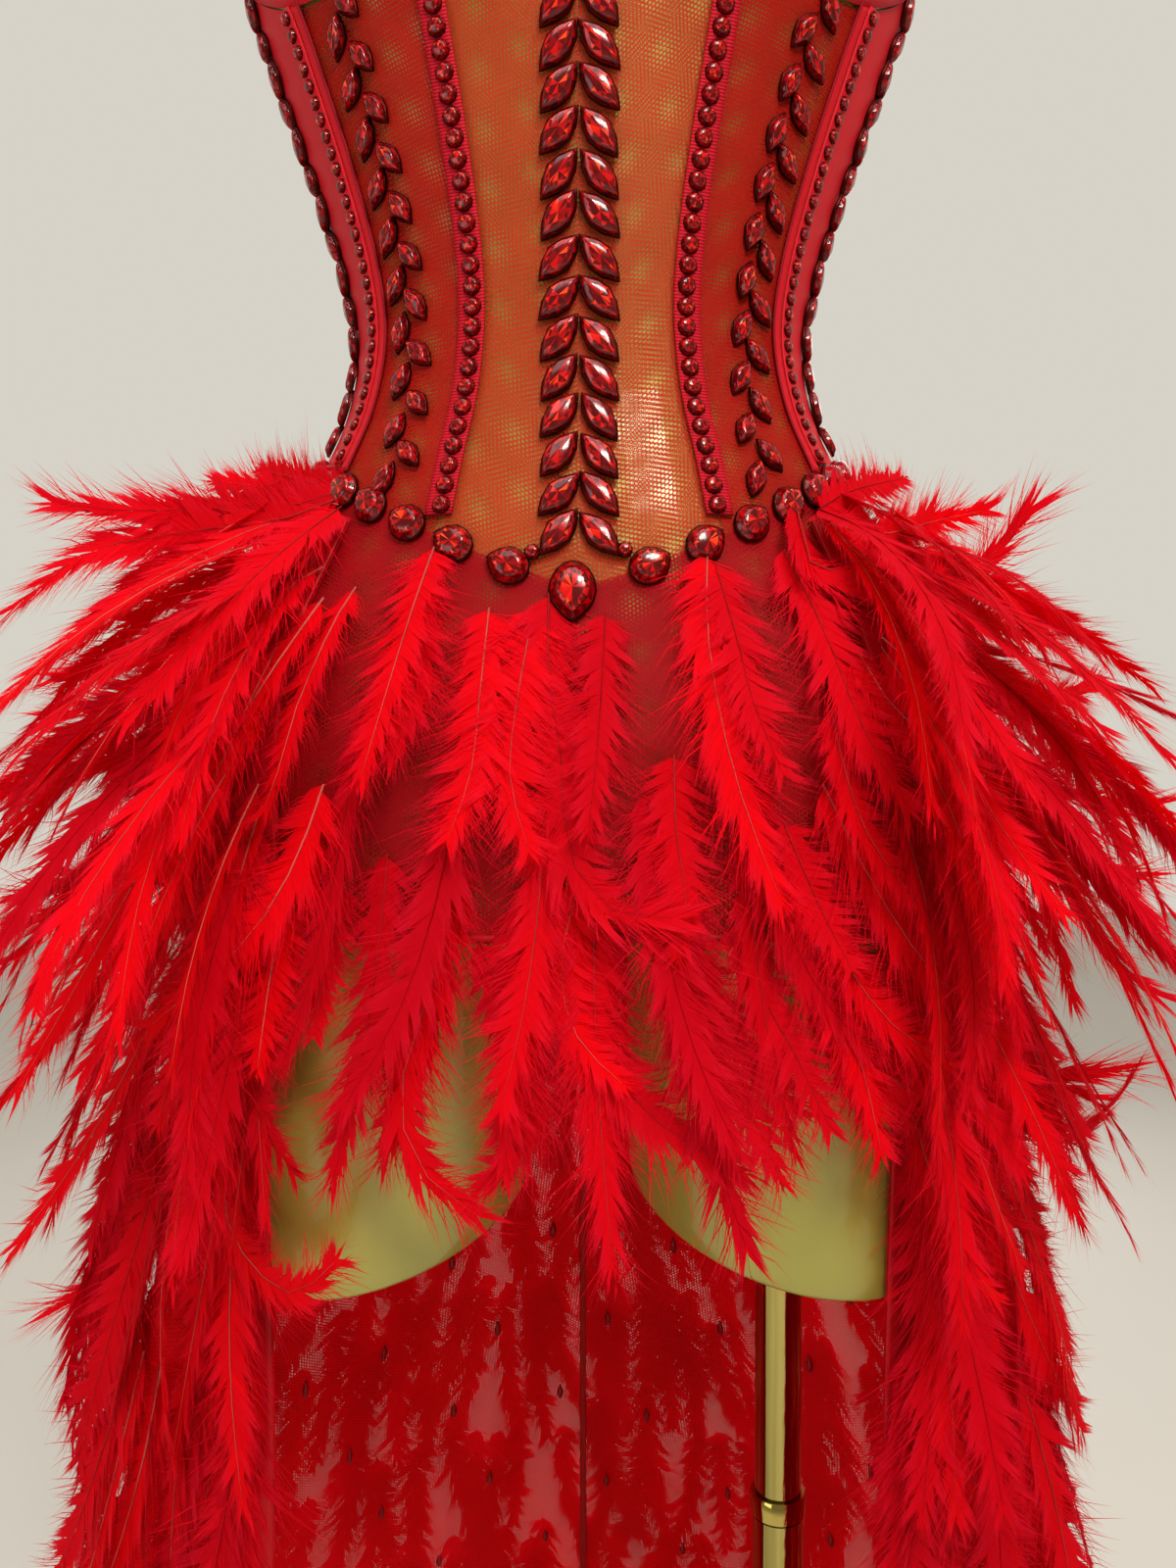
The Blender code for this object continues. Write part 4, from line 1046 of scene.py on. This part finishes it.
def barbStrip(segments, pointed):  # one flat barb or tuft, 0 to 1 long
    bm = bmesh.new()
    bmesh.ops.create_grid(bm, x_segments=segments, y_segments=1, size=0.5)
    if pointed:
        ends = [v for v in bm.verts if v.co.x > 0.49]
        bmesh.ops.pointmerge(bm, verts=ends, merge_co=(0.5, 0.0, 0.0))
    bmesh.ops.triangulate(bm, faces=bm.faces[:])
    bm.verts.index_update()
    along = np.array([v.co.x + 0.5 for v in bm.verts])
    side = np.array([v.co.y for v in bm.verts])
    corners = np.array([[v.index for v in f.verts] for f in bm.faces])
    bm.free()
    return along, side, corners


def quillTube(steps):  # a three-sided tube from 0 to 1 along its first axis
    bm = bmesh.new()
    ring = bmesh.ops.create_circle(bm, cap_ends=True, segments=3, radius=1.0)["verts"]
    face = ring[0].link_faces[0]
    for k in range(1, steps + 1):
        grown = bmesh.ops.extrude_face_region(bm, geom=[face])["geom"]
        face = next(g for g in grown if isinstance(g, bmesh.types.BMFace))
        bmesh.ops.translate(bm, vec=(0.0, 0.0, 1.0 / steps), verts=list(face.verts))
    bmesh.ops.recalc_face_normals(bm, faces=bm.faces[:])
    bmesh.ops.triangulate(bm, faces=bm.faces[:])
    bm.verts.index_update()
    points = np.array([(v.co.z, v.co.x, v.co.y) for v in bm.verts])
    corners = np.array([[v.index for v in f.verts] for f in bm.faces])
    bm.free()
    return points, corners


def barbSet(rng, look, more):
    # points as (share along the quill, sideways in metres, out in metres), and (barb share + kind, mm along)
    along, side, corners = barbStrip(2, look["fine"] == 0.0)
    if look["fine"]:
        along = np.where(np.isclose(along, 0.5), plumeEnds["from"], along)
    count = round(look["count"] * more)
    t, w = along[None, :], side[None, :]
    start = (np.arange(count) + rng.uniform(0.0, 1.0, count)) / count * 0.97 + 0.02
    sign = np.where(np.arange(count) % 2 == 0, 1.0, -1.0)
    tuft = np.clip(1.0 - start / 0.18, 0.0, 1.0)
    tip = np.clip((start - 0.60) / 0.40, 0.0, 1.0)
    wave = sum(
        np.sin(2.0 * math.pi * (cycles * start + 0.37 * sign + rng.random())) for cycles in (3.0, 7.0, 16.0)
    )  # barbs cling in uneven tufts
    length = look["length"] * (0.86 + 0.24 * rng.random(count) + 0.04 * wave)
    length = length * (1.0 - 0.30 * tip) * (1.0 - 0.45 * tuft)
    sweep = look["sweep"] + 26.0 * tuft - 18.0 * tip + 1.8 * wave + rng.normal(0.0, 2.5, count)
    stray = rng.random(count) < look["stray"]
    sweep = np.radians(np.where(stray, sweep + rng.uniform(0.0, 30.0, count), sweep))
    droop = (0.0009 * wave + rng.normal(0.0, 0.0006, count))[:, None]
    curl = (0.07 * wave + rng.normal(0.0, 0.07, count))[:, None]
    angle = sweep[:, None] * (1.0 - 0.30 * t) + curl * t**2
    width = look["width"] * (1.0 - look["taper"] * t**2.2)
    forward = length[:, None] * t * np.cos(angle) + w * width
    outward = length[:, None] * t * np.sin(angle) * sign[:, None]
    lift = droop * t**1.6 + w * width * rng.uniform(-0.05, 0.05, count)[:, None] - 0.0004
    share = start[:, None] + forward / plumeLook["nominal"]
    points = np.stack([share, outward, lift], axis=2).reshape(-1, 3)
    mark = 1000.0 * (start[:, None] * plumeLook["nominal"] + w * width)
    marks = np.stack([np.broadcast_to(t + look["fine"], mark.shape), mark], axis=2).reshape(-1, 2)
    faces = (corners[None, :, :] + (np.arange(count) * len(along))[:, None, None]).reshape(-1, 3)
    return points, marks, faces


def plumeShape(seed, more):  # solid-looking tufts of barbs, loose hairs over them, and the quill
    rng = np.random.default_rng(seed)
    tube, tubeCorners = quillTube(plumeLook["quillSteps"])
    radius = plumeLook["quillWidth"] * 0.5 * (1.0 - 0.85 * tube[:, 0:1])
    tubePoints = np.concatenate([tube[:, 0:1] * 0.97, tube[:, 1:] * radius], axis=1)
    tubeMarks = np.stack([np.full(len(tube), -1.0), tube[:, 0]], axis=1)
    parts = [barbSet(rng, plumeLook["vane"], 1.0), barbSet(rng, plumeLook["down"], more)]
    parts.append((tubePoints, tubeMarks, tubeCorners))
    starts = np.cumsum([0] + [len(part[0]) for part in parts[:-1]])
    return {
        "points": np.concatenate([part[0] for part in parts]),
        "marks": np.concatenate([part[1] for part in parts]),
        "corners": np.concatenate([part[2] + start for part, start in zip(parts, starts)]),
    }


finePlumes = [plumeShape(100 + i, 1.8) for i in range(6)]
plainPlumes = [plumeShape(200 + i, 1.0) for i in range(6)]


def smoothPath(knots, count=14):  # a smooth line through a few points, evenly spaced
    knots = np.array([tuple(k) for k in knots], dtype=float)
    ends = np.concatenate([[2 * knots[0] - knots[1]], knots, [2 * knots[-1] - knots[-2]]])
    fine = []
    for i in range(1, len(ends) - 2):
        a, b, c, d = ends[i - 1], ends[i], ends[i + 1], ends[i + 2]
        for t in np.linspace(0.0, 1.0, 10, endpoint=False):
            fine.append(0.5 * (2 * b + (c - a) * t + (2 * a - 5 * b + 4 * c - d) * t**2
                               + (3 * b - a - 3 * c + d) * t**3))
    fine.append(ends[-2])
    fine = np.array(fine)
    walk = np.concatenate([[0.0], np.linalg.norm(np.diff(fine, axis=0), axis=1).cumsum()])
    marks = np.linspace(0.0, walk[-1], count)
    return np.stack([np.interp(marks, walk, fine[:, c]) for c in range(3)], axis=1), walk[-1]


def layPlume(shape, knots, face, widen, roll):
    path, length = smoothPath(knots)
    steps = np.linspace(0.0, 1.0, len(path))
    way = np.gradient(path, axis=0)
    way /= np.linalg.norm(way, axis=1)[:, None]
    across = np.cross(way, np.array(tuple(face)))
    across /= np.linalg.norm(across, axis=1)[:, None]
    outward = np.cross(across, way)
    turned = across * math.cos(roll) + outward * math.sin(roll)
    outward = outward * math.cos(roll) - across * math.sin(roll)
    share = shape["points"][:, 0]
    inside = np.clip(share, 0.0, 1.0)

    def read(values):
        return np.stack([np.interp(inside, steps, values[:, c]) for c in range(3)], axis=1)

    beyond = np.clip(share - 1.0, 0.0, None)[:, None] * length * way[-1]
    points = read(path) + beyond + read(turned) * shape["points"][:, 1:2] * widen
    points += read(outward) * shape["points"][:, 2:3] * widen
    ahead = np.clip(plumeLook["ahead"] - points[:, 1], 0.0, None)  # plumes in front stay close to the skirt
    most = plumeLook["aheadMost"]
    points[:, 1] += ahead - most * np.tanh(ahead / most)
    points[:, 2] = np.maximum(points[:, 2], 0.002)
    return points


def plumePiece(name, node, plumes):
    points, corners, marks, shades = [], [], [], []
    count = 0
    for shape, knots, face, widen, roll, shade in plumes:
        laid = layPlume(shape, knots, face, widen, roll)
        points.append(laid)
        corners.append(shape["corners"] + count)
        marks.append(shape["marks"])
        shades.append(np.full(len(laid), shade))
        count += len(laid)
    corners = np.concatenate(corners)
    marks = np.concatenate(marks)
    mesh = arrayMesh(name, np.concatenate(points), corners)
    layer = mesh.uv_layers.new(name="plume")
    layer.data.foreach_set("uv", marks[corners.ravel()].astype(np.float32).ravel())
    field = mesh.attributes.new("shade", "FLOAT", "POINT")
    field.data.foreach_set("value", np.concatenate(shades).astype(np.float32))
    frayed = marks[corners, 0].max(axis=1) > plumeLook["vane"]["fine"] + plumeEnds["from"] + 0.01
    mesh.polygons.foreach_set("material_index", frayed.astype(np.int32))
    print(name, len(plumes), "plumes,", len(corners), "triangles")
    return settle(name, mesh, plumeDye, [node])


camera = {
    "spot": Vector((0.004, -0.63, 0.875)), "pitch": 1.29, "lens": 27.0, "sensor": 36.0,
    "focal": 1200.0, "middle": (600.0, 800.0),  # in pixels of the 1200 x 1600 frame
}


def pixelPoint(px, py, y):  # the point at depth y that shows at a pixel
    pitch = math.radians(camera["pitch"])
    sideways = (px - camera["middle"][0]) / camera["focal"]
    up = (camera["middle"][1] - py) / camera["focal"]
    ray = Vector((sideways, math.cos(pitch) + up * math.sin(pitch), up * math.cos(pitch) - math.sin(pitch)))
    return camera["spot"] + ray * ((y - camera["spot"].y) / ray.y)


def skirtHit(px, py, out):  # where the line of sight at a pixel meets the skirt, moved out
    y = -0.10
    for _ in range(8):
        spot = pixelPoint(px, py, y)
        z = min(max(spot.z, 0.60), waistZ(90.0))
        widest = skirtPoint(90.0, z, out).x
        angle = math.degrees(math.asin(min(max(spot.x / widest, -1.0), 1.0)))
        z = min(z, waistZ(angle))
        y = 0.5 * y + 0.5 * skirtPoint(angle, z, out).y
    return pixelPoint(px, py, y)


# Plumes that show one by one in the photograph, as pixels of the 1200 x 1600 frame from root to tip:
# piece, lift of the tip in mm, width, then x, y pairs
shownPlumes = (
    ("train1", 20, 1.5, (345, 508), (287, 530), (172, 545), (86, 565), (10, 622)),
    ("train1", 26, 1.2, (350, 500), (300, 515), (190, 520), (110, 520), (50, 512)),
    ("train1", 10, 1.0, (352, 505), (310, 490), (262, 478)),
    ("train1", 14, 1.0, (345, 515), (290, 500), (215, 490)),
    ("train1", 12, 1.2, (340, 520), (300, 560), (240, 575)),
    ("train1", 26, 1.3, (330, 578), (230, 634), (143, 668), (55, 690)),
    ("train2", 22, 1.2, (300, 600), (224, 662), (143, 708), (50, 731)),
    ("train2", 26, 1.2, (262, 668), (201, 726), (115, 774), (57, 797), (4, 806)),
    ("train2", 26, 1.3, (240, 720), (191, 800), (140, 850), (96, 891), (10, 914)),
    ("train3", 20, 1.2, (250, 760), (200, 850), (120, 905), (20, 945)),
    ("front1", 14, 1.2, (363, 599), (341, 634), (316, 688), (298, 734), (288, 774), (268, 830)),
    ("front1", 16, 1.3, (330, 610), (280, 680), (230, 760), (170, 860)),
    ("front1", 18, 1.3, (443, 558), (423, 614), (398, 693), (366, 800)),
    ("front1", 14, 1.1, (437, 566), (430, 640), (420, 720), (395, 780)),
    ("front1", 16, 1.3, (499, 620), (490, 703), (480, 790), (455, 860)),
    ("front1", 18, 1.4, (560, 605), (560, 693), (573, 773), (577, 853), (605, 917), (653, 936), (698, 937)),
    ("front1", 16, 1.3, (545, 620), (530, 700), (520, 790), (540, 870)),
    ("front1", 14, 1.1, (618, 625), (613, 716), (607, 790), (600, 850)),
    ("front1", 18, 1.3, (722, 562), (722, 646), (739, 748), (765, 837), (800, 925)),
    ("front1", 14, 1.2, (730, 575), (752, 650), (770, 720), (800, 790)),
    ("front2", 16, 1.2, (688, 770), (690, 850), (700, 920), (690, 980)),
    ("front2", 18, 1.2, (683, 955), (694, 1014), (735, 1090), (774, 1150), (800, 1210)),
    ("front2", 14, 1.1, (700, 960), (745, 1050), (790, 1110), (826, 1140)),
    ("front2", 20, 1.3, (466, 885), (446, 980), (427, 1047), (407, 1120), (430, 1195), (490, 1243)),
    ("front2", 18, 1.1, (490, 960), (525, 1060), (545, 1120), (525, 1180), (478, 1221)),
    ("front2", 20, 1.3, (610, 930), (608, 1010), (620, 1080), (655, 1130), (700, 1165), (765, 1200)),
    ("front2", 16, 1.1, (590, 900), (572, 990), (590, 1060), (640, 1110)),
    ("front2", 18, 1.2, (749, 940), (780, 1020), (812, 1077), (850, 1157)),
    ("train1", 22, 1.4, (812, 514), (825, 575), (878, 598), (957, 594), (1005, 575), (1056, 514)),
    ("train1", 12, 1.1, (835, 520), (870, 500), (925, 487)),
    ("train1", 14, 1.2, (850, 535), (900, 545), (960, 530), (1010, 520)),
    ("train1", 22, 1.2, (880, 590), (973, 622), (1030, 640), (1080, 660)),
    ("train1", 22, 1.2, (900, 600), (948, 641), (985, 690), (1035, 721), (1120, 699)),
    ("train2", 24, 1.2, (900, 650), (970, 712), (1005, 756), (1069, 798), (1117, 817), (1180, 822)),
    ("train2", 22, 1.2, (871, 657), (894, 699), (941, 753), (1005, 801), (1075, 836)),
    ("train2", 24, 1.1, (950, 780), (1037, 849), (1101, 881), (1180, 894)),
    ("train2", 26, 1.2, (940, 760), (980, 817), (1037, 849), (1085, 897), (1133, 978), (1182, 1016)),
    ("front1", 14, 1.2, (849, 728), (858, 769), (884, 849), (941, 929)),
    ("front2", 14, 1.2, (800, 840), (838, 928), (870, 990)),
    ("front1", 14, 1.3, (800, 560), (840, 640), (880, 740), (930, 830)),
    ("front3", 20, 1.3, (827, 1000), (871, 1085), (916, 1115), (957, 1112), (1050, 1099), (1150, 1092)),
    ("train3", 22, 1.2, (940, 960), (1005, 1041), (1069, 1099), (1117, 1121)),
    ("train3", 24, 1.2, (960, 1040), (1020, 1120), (1080, 1160), (1130, 1135), (1160, 1092)),
    ("train3", 22, 1.2, (930, 1080), (985, 1190), (1031, 1233), (1047, 1265)),
    ("train4", 22, 1.2, (920, 1100), (941, 1169), (973, 1265), (1021, 1329)),
    ("train3", 22, 1.4, (330, 800), (313, 850), (287, 907), (243, 968), (150, 1050)),
    ("train3", 20, 1.4, (250, 900), (198, 1010), (160, 1150)),
    ("train4", 24, 1.3, (250, 1110), (191, 1217), (112, 1303), (50, 1335)),
    ("train4", 20, 1.2, (228, 1170), (232, 1249), (271, 1306), (306, 1318), (345, 1284)),
    ("front3", 16, 1.4, (290, 920), (275, 1000), (262, 1095)),
    ("front3", 16, 1.3, (345, 900), (330, 990), (320, 1060)),
    ("front2", 18, 1.3, (815, 880), (850, 960), (905, 1040), (975, 1090)),
    ("front3", 20, 1.4, (800, 930), (845, 1010), (880, 1090), (900, 1180)),
    ("front3", 22, 1.3, (850, 960), (905, 1030), (985, 1090), (1080, 1130)),
    ("front2", 18, 1.3, (840, 800), (890, 900), (950, 990), (1020, 1050)),
    ("front3", 18, 1.4, (300, 960), (275, 1050), (262, 1130), (300, 1200)),
)


trainStrew = {
    "shares": (0.004, 0.996), "each": 5, "edges": (0.42, 0.34, 0.46),
    "upper": {"stray": 14.0, "spread": 8.0, "curl": 0.30, "widen": (0.90, 1.20)},
    "lower": {"stray": 7.0, "spread": 3.0, "curl": 0.04, "widen": (1.10, 1.45)},
}
pathShares = (0.25, 0.5, 0.75, 1.0)


def strewTrain(strew, locks, length, snug, splay, base, hang, number, dice):
    start, end = trainStrew["shares"]
    pitch = (end - start) / locks
    each = trainStrew["each"]
    plumes = []
    for index in range(locks):
        share = start + pitch * (index + 0.5)
        offsets = [(extra / (each - 1.0) - 0.5) * 0.9 for extra in range(each)]
        if index in (0, locks - 1):  # the open front edges are the fullest
            offsets += [math.copysign(edge, index - 1) for edge in trainStrew["edges"]]
        for offset in offsets:
            offset += dice.uniform(-0.08, 0.08)
            here = min(max(share + pitch * offset, start + 0.004), end - 0.004)
            root = base(here, dice.uniform(-0.030, 0.010), 0.0008)
            along = (base(here + 0.004, 0.0, 0.0) - base(here - 0.004, 0.0, 0.0)).normalized()
            down = hang(here)
            out = base(here, 0.0, 0.01) - base(here, 0.0, 0.0)
            out = (out - down * out.dot(down)).normalized()
            stray = strew["stray"] if dice.random() < 0.12 else 0.0
            leanDeg = snug + 3.0 * (index % 2) + splay(here) + stray
            lean = math.radians(leanDeg + dice.uniform(-strew["spread"], strew["spread"]))
            sway = 0.08 * math.sin(4.0 * math.pi * (here - start) / (end - start) + number)
            sway += dice.uniform(-0.24, 0.24)
            reach = length * (1.0 + 0.12 * math.sin(index * 2.4 + number)) * dice.uniform(0.80, 1.02)
            curl = dice.uniform(-0.16, strew["curl"])
            knots = [root]
            for t in pathShares:
                tilt = max(lean * (1.15 - 0.35 * t), math.radians(2.0))
                heading = down * math.cos(tilt) + out * math.sin(tilt)
                spot = root + heading * (reach * t) + along * (sway * reach * t**2)
                knots.append(spot + out * (curl * reach * t**3 * 0.5))
            shape = plainPlumes[dice.randrange(len(plainPlumes))]
            widen = dice.uniform(*strew["widen"])
            plumes.append((shape, knots, out, widen, dice.uniform(-0.5, 0.5), dice.uniform(0.0, 1.0)))
    return plumes


def crest(z):
    return max(foldOut(0.012 + 0.976 * i / 48.0, z) for i in range(49))


# Plumes on the skirt: depth below the waistline, locks, length, reach to each side, splay
frontRows = ((0.022, 0, 0.120, 40.0, 15.0), (0.078, 5, 0.135, 34.0, 7.0), (0.130, 8, 0.130, 40.0, 0.0))
# On the train's upper rows: depth below the waistline, locks, length, lean outward, least splay
topRows = ((0.014, 11, 0.150, 15.0, 16.0), (0.078, 12, 0.160, 13.0, 8.0), (0.130, 12, 0.165, 9.0, 2.0))
# On the train's lower rows: height, locks, length, lean outward
lowRows = (
    (0.806, 12, 0.170, 4.0), (0.704, 12, 0.175, 1.0), (0.594, 13, 0.180, 1.0),
    (0.478, 13, 0.180, 1.0), (0.356, 13, 0.185, 1.0), (0.228, 13, 0.225, 1.0),
)


def shownOnes(dice):
    shown = {}
    for piece, lift, wide, *pixels in shownPlumes:
        knots = []
        for k, (px, py) in enumerate(pixels):
            share = k / (len(pixels) - 1.0)
            knots.append(skirtHit(px, py, 0.0045 + lift * 0.001 * share**1.3))
        middle = knots[len(knots) // 2]
        face = Vector((middle.x * 1.2, -0.25, 0.05)).normalized()
        shape = finePlumes[dice.randrange(len(finePlumes))]
        roll, shade = dice.uniform(-0.25, 0.25), dice.uniform(0.2, 1.0)
        shown.setdefault(piece, []).append((shape, knots, face, wide * 0.95, roll, shade))
    return shown


def strewFront(depth, locks, length, reach, splay, dice):
    plumes = []
    for i in range(locks):
        angle = -reach + 2.0 * reach * (i + 0.25 + dice.uniform(-0.1, 0.1)) / locks
        turn = math.radians(angle)
        drop = depth + dice.uniform(0.0, 0.03)
        fan = math.sin(turn) * 0.9 + dice.uniform(-0.22, 0.22)
        lean = math.radians(splay * 0.4 + dice.uniform(3.0, 12.0))
        size = length * dice.uniform(0.85, 1.25)
        root = skirtPoint(angle, waistZ(angle) - drop, 0.0036)
        across = Vector((math.cos(turn), math.sin(turn), 0.0))
        knots = [root]
        for t in pathShares:
            z = root.z - size * t * math.cos(fan * t)
            side = skirtPoint(angle, z, 0.0036 + size * t * math.sin(lean)) - root
            knots.append(root + side + across * size * math.sin(fan * t) * t * 0.6)
        face = Vector((math.sin(turn), -math.cos(turn), 0.0))
        shape = finePlumes[dice.randrange(len(finePlumes))]
        roll, shade = dice.uniform(-0.4, 0.4), dice.uniform(0.0, 0.85)
        plumes.append((shape, knots, face, dice.uniform(0.95, 1.25), roll, shade))
    return plumes


def makePlumes():
    dice = random.Random(21)
    shown = shownOnes(dice)
    for number, row in enumerate(frontRows, 1):
        plumes = shown.get(f"front{number}", []) + strewFront(*row, dice)
        plumePiece(f"plumesFront{number}", f"feathers_front_{number}", plumes)

    def hang(share):
        return (trainPoint(share, 0.0, 0.0, False) - trainPoint(share, 0.8, 0.0, False)).normalized()

    clear = corset["wall"] * 2.0 + 0.0012
    for number in range(1, len(topRows) + len(lowRows) + 1):
        if number <= len(topRows):
            depth, locks, length, snug, least = topRows[number - 1]

            def base(share, lift, out, depth=depth):
                return trainPoint(share, waistZ(trainAngle(share)) - depth + lift, clear + out)
        else:
            level, locks, length, snug = lowRows[number - len(topRows) - 1]
            least = 0.0

            def base(share, lift, out, level=level, high=crest(level)):
                return trainPoint(share, level + lift, clear + high + out, False)

        step = min(0.13 * (number - 1), 1.0)

        def splay(share, least=least, step=step):
            angle = math.radians(trainAngle(share))
            return least + (44.0 - least) * abs(math.sin(angle)) ** 3 * (1.0 - step) ** 3.2

        node = f"feathers_train_{number:02d}"
        code = sum(ord(letter) for letter in node)
        strew = trainStrew["upper" if number <= len(topRows) + 1 else "lower"]
        plumes = list(shown.get(f"train{number}", []))
        plumes += strewTrain(strew, locks, length, snug, splay, base, hang, code, dice)
        plumePiece(f"plumesTrain{number:02d}", node, plumes)


def glueMaterial():
    # clear glue soaked into the quill ends, dark and slightly glossy
    made, tree, shader = newMaterial("Glued quill ends, dark red")
    coords = addNode(tree, "ShaderNodeTexCoord")
    soak = addNode(tree, "ShaderNodeTexNoise", {"Scale": 60.0}, {"Vector": coords.outputs["Object"]})
    tree.links.new(blendColours(tree, "#7A0210", "#B20618", soak.outputs[0]), shader.inputs["Base Color"])
    setShader(shader, Roughness=0.45)
    return made


def makeQuillEnds():  # small drops of glue where each quill is fixed, seen from inside the train
    look = {
        "length": 0.0170, "width": 0.0056, "height": 0.0010, "narrow": 0.80, "out": -0.0012,
        "rows": 11, "each": 15, "top": 0.80, "pitch": 0.072,
    }
    dice = random.Random(5)
    bm = bmesh.new()
    drop = bmesh.ops.create_icosphere(bm, subdivisions=1, radius=1.0)["verts"]
    for vert in drop:
        narrow = 1.0 - look["narrow"] * max(vert.co.y, 0.0)
        size = (look["width"] * 0.5 * narrow, look["length"] * 0.5, look["height"] * 0.5)
        vert.co = [c * k for c, k in zip(vert.co, size)]
    bm.verts.index_update()
    spots = np.array([v.co[:] for v in bm.verts])
    faces = np.array([[v.index for v in f.verts] for f in bm.faces])
    bm.free()
    points, corners = [], []
    for row in range(look["rows"]):
        for i in range(look["each"]):
            share = (i + 0.5 + 0.5 * (row % 2) + dice.uniform(-0.15, 0.15)) / (look["each"] + 0.5)
            z = look["top"] - look["pitch"] * row + dice.uniform(-0.010, 0.010)
            here = trainPoint(share, z, look["out"])
            up = (trainPoint(share, z + 0.002, look["out"]) - here).normalized()
            across = (trainPoint(share + 0.001, z, look["out"]) - here).normalized()
            turn = np.array(Matrix((across, up, across.cross(up))).transposed())
            points.append(spots @ turn.T + np.array(here))
            corners.append(faces + len(spots) * (len(points) - 1))
    mesh = arrayMesh("quillEnds", np.concatenate(points), np.concatenate(corners))
    settle("quillEnds", mesh, glueMaterial())


makePlumes()
makeQuillEnds()
print("plumes laid")


# Floor, light and camera
def makeStage():
    bm = bmesh.new()
    bmesh.ops.create_grid(bm, x_segments=1, y_segments=1, size=6.0)
    mesh = bpy.data.meshes.new("floor")
    bm.to_mesh(mesh)
    bm.free()
    made, tree, shader = newMaterial("Pale painted floor, matt")
    coords = addNode(tree, "ShaderNodeTexCoord")
    cloud = addNode(tree, "ShaderNodeTexNoise", {"Scale": 1.4}, {"Vector": coords.outputs["Object"]})
    tree.links.new(blendColours(tree, "#D2CEC6", "#DAD7D0", cloud.outputs[0]), shader.inputs["Base Color"])
    setShader(shader, Roughness=0.8)
    mesh.materials.append(made)
    floor = bpy.data.objects.new("floor", mesh)
    bpy.context.scene.collection.objects.link(floor)
    world = bpy.data.worlds.new("soft room")
    world.use_nodes = True
    tree = world.node_tree
    coords = addNode(tree, "ShaderNodeTexCoord")
    way = addNode(tree, "ShaderNodeSeparateXYZ", links={0: coords.outputs["Generated"]})
    room = addNode(
        tree, "ShaderNodeMapRange", {"From Min": -0.45, "From Max": 0.45}, {"Value": way.outputs[1]}
    )
    shades = blendColours(tree, "#968B80", "#D6D2C7", room.outputs[0])
    tree.links.new(shades, tree.nodes["Background"].inputs[0])
    bpy.context.scene.world = world


def areaLight(name, spot, aim, size, watts, tint):
    data = bpy.data.lights.new(name, "AREA")
    data.energy = watts
    data.size = size
    data.color = hexLinear(tint)[:3]
    lamp = bpy.data.objects.new(name, data)
    lamp.location = spot
    lamp.rotation_euler = (Vector((0.0, 0.0, aim)) - Vector(spot)).to_track_quat("-Z", "Y").to_euler()
    bpy.context.scene.collection.objects.link(lamp)


lamps = {  # spot, height aimed at, size in metres, watts, tint
    "keyRight": ((0.7, -1.7, 2.3), 1.0, 0.5, 26.0, "#FFF6EA"),
    "ceiling": ((0.0, -1.0, 2.9), 0.9, 2.0, 34.0, "#FFFFFF"),
    "fillLeft": ((-1.6, -1.6, 1.0), 0.8, 1.2, 9.0, "#FFFFFF"),
    "behind": ((0.3, 2.2, 1.7), 0.8, 1.6, 18.0, "#FFFFFF"),
    "spark": ((0.25, -1.3, 1.9), 1.1, 0.10, 4.5, "#FFFFFF"),
}
makeStage()
for name, look in lamps.items():
    areaLight(name, *look)

view = bpy.data.cameras.new("photoView")
view.lens = camera["lens"]
view.sensor_width = camera["sensor"]
eye = bpy.data.objects.new("photoView", view)
eye.location = camera["spot"]
eye.rotation_euler = (math.radians(90.0 - camera["pitch"]), 0.0, 0.0)
bpy.context.scene.collection.objects.link(eye)
bpy.context.scene.camera = eye
# The plain view keeps the dyed reds as deep as the photograph's
bpy.context.scene.view_settings.view_transform = "Standard"
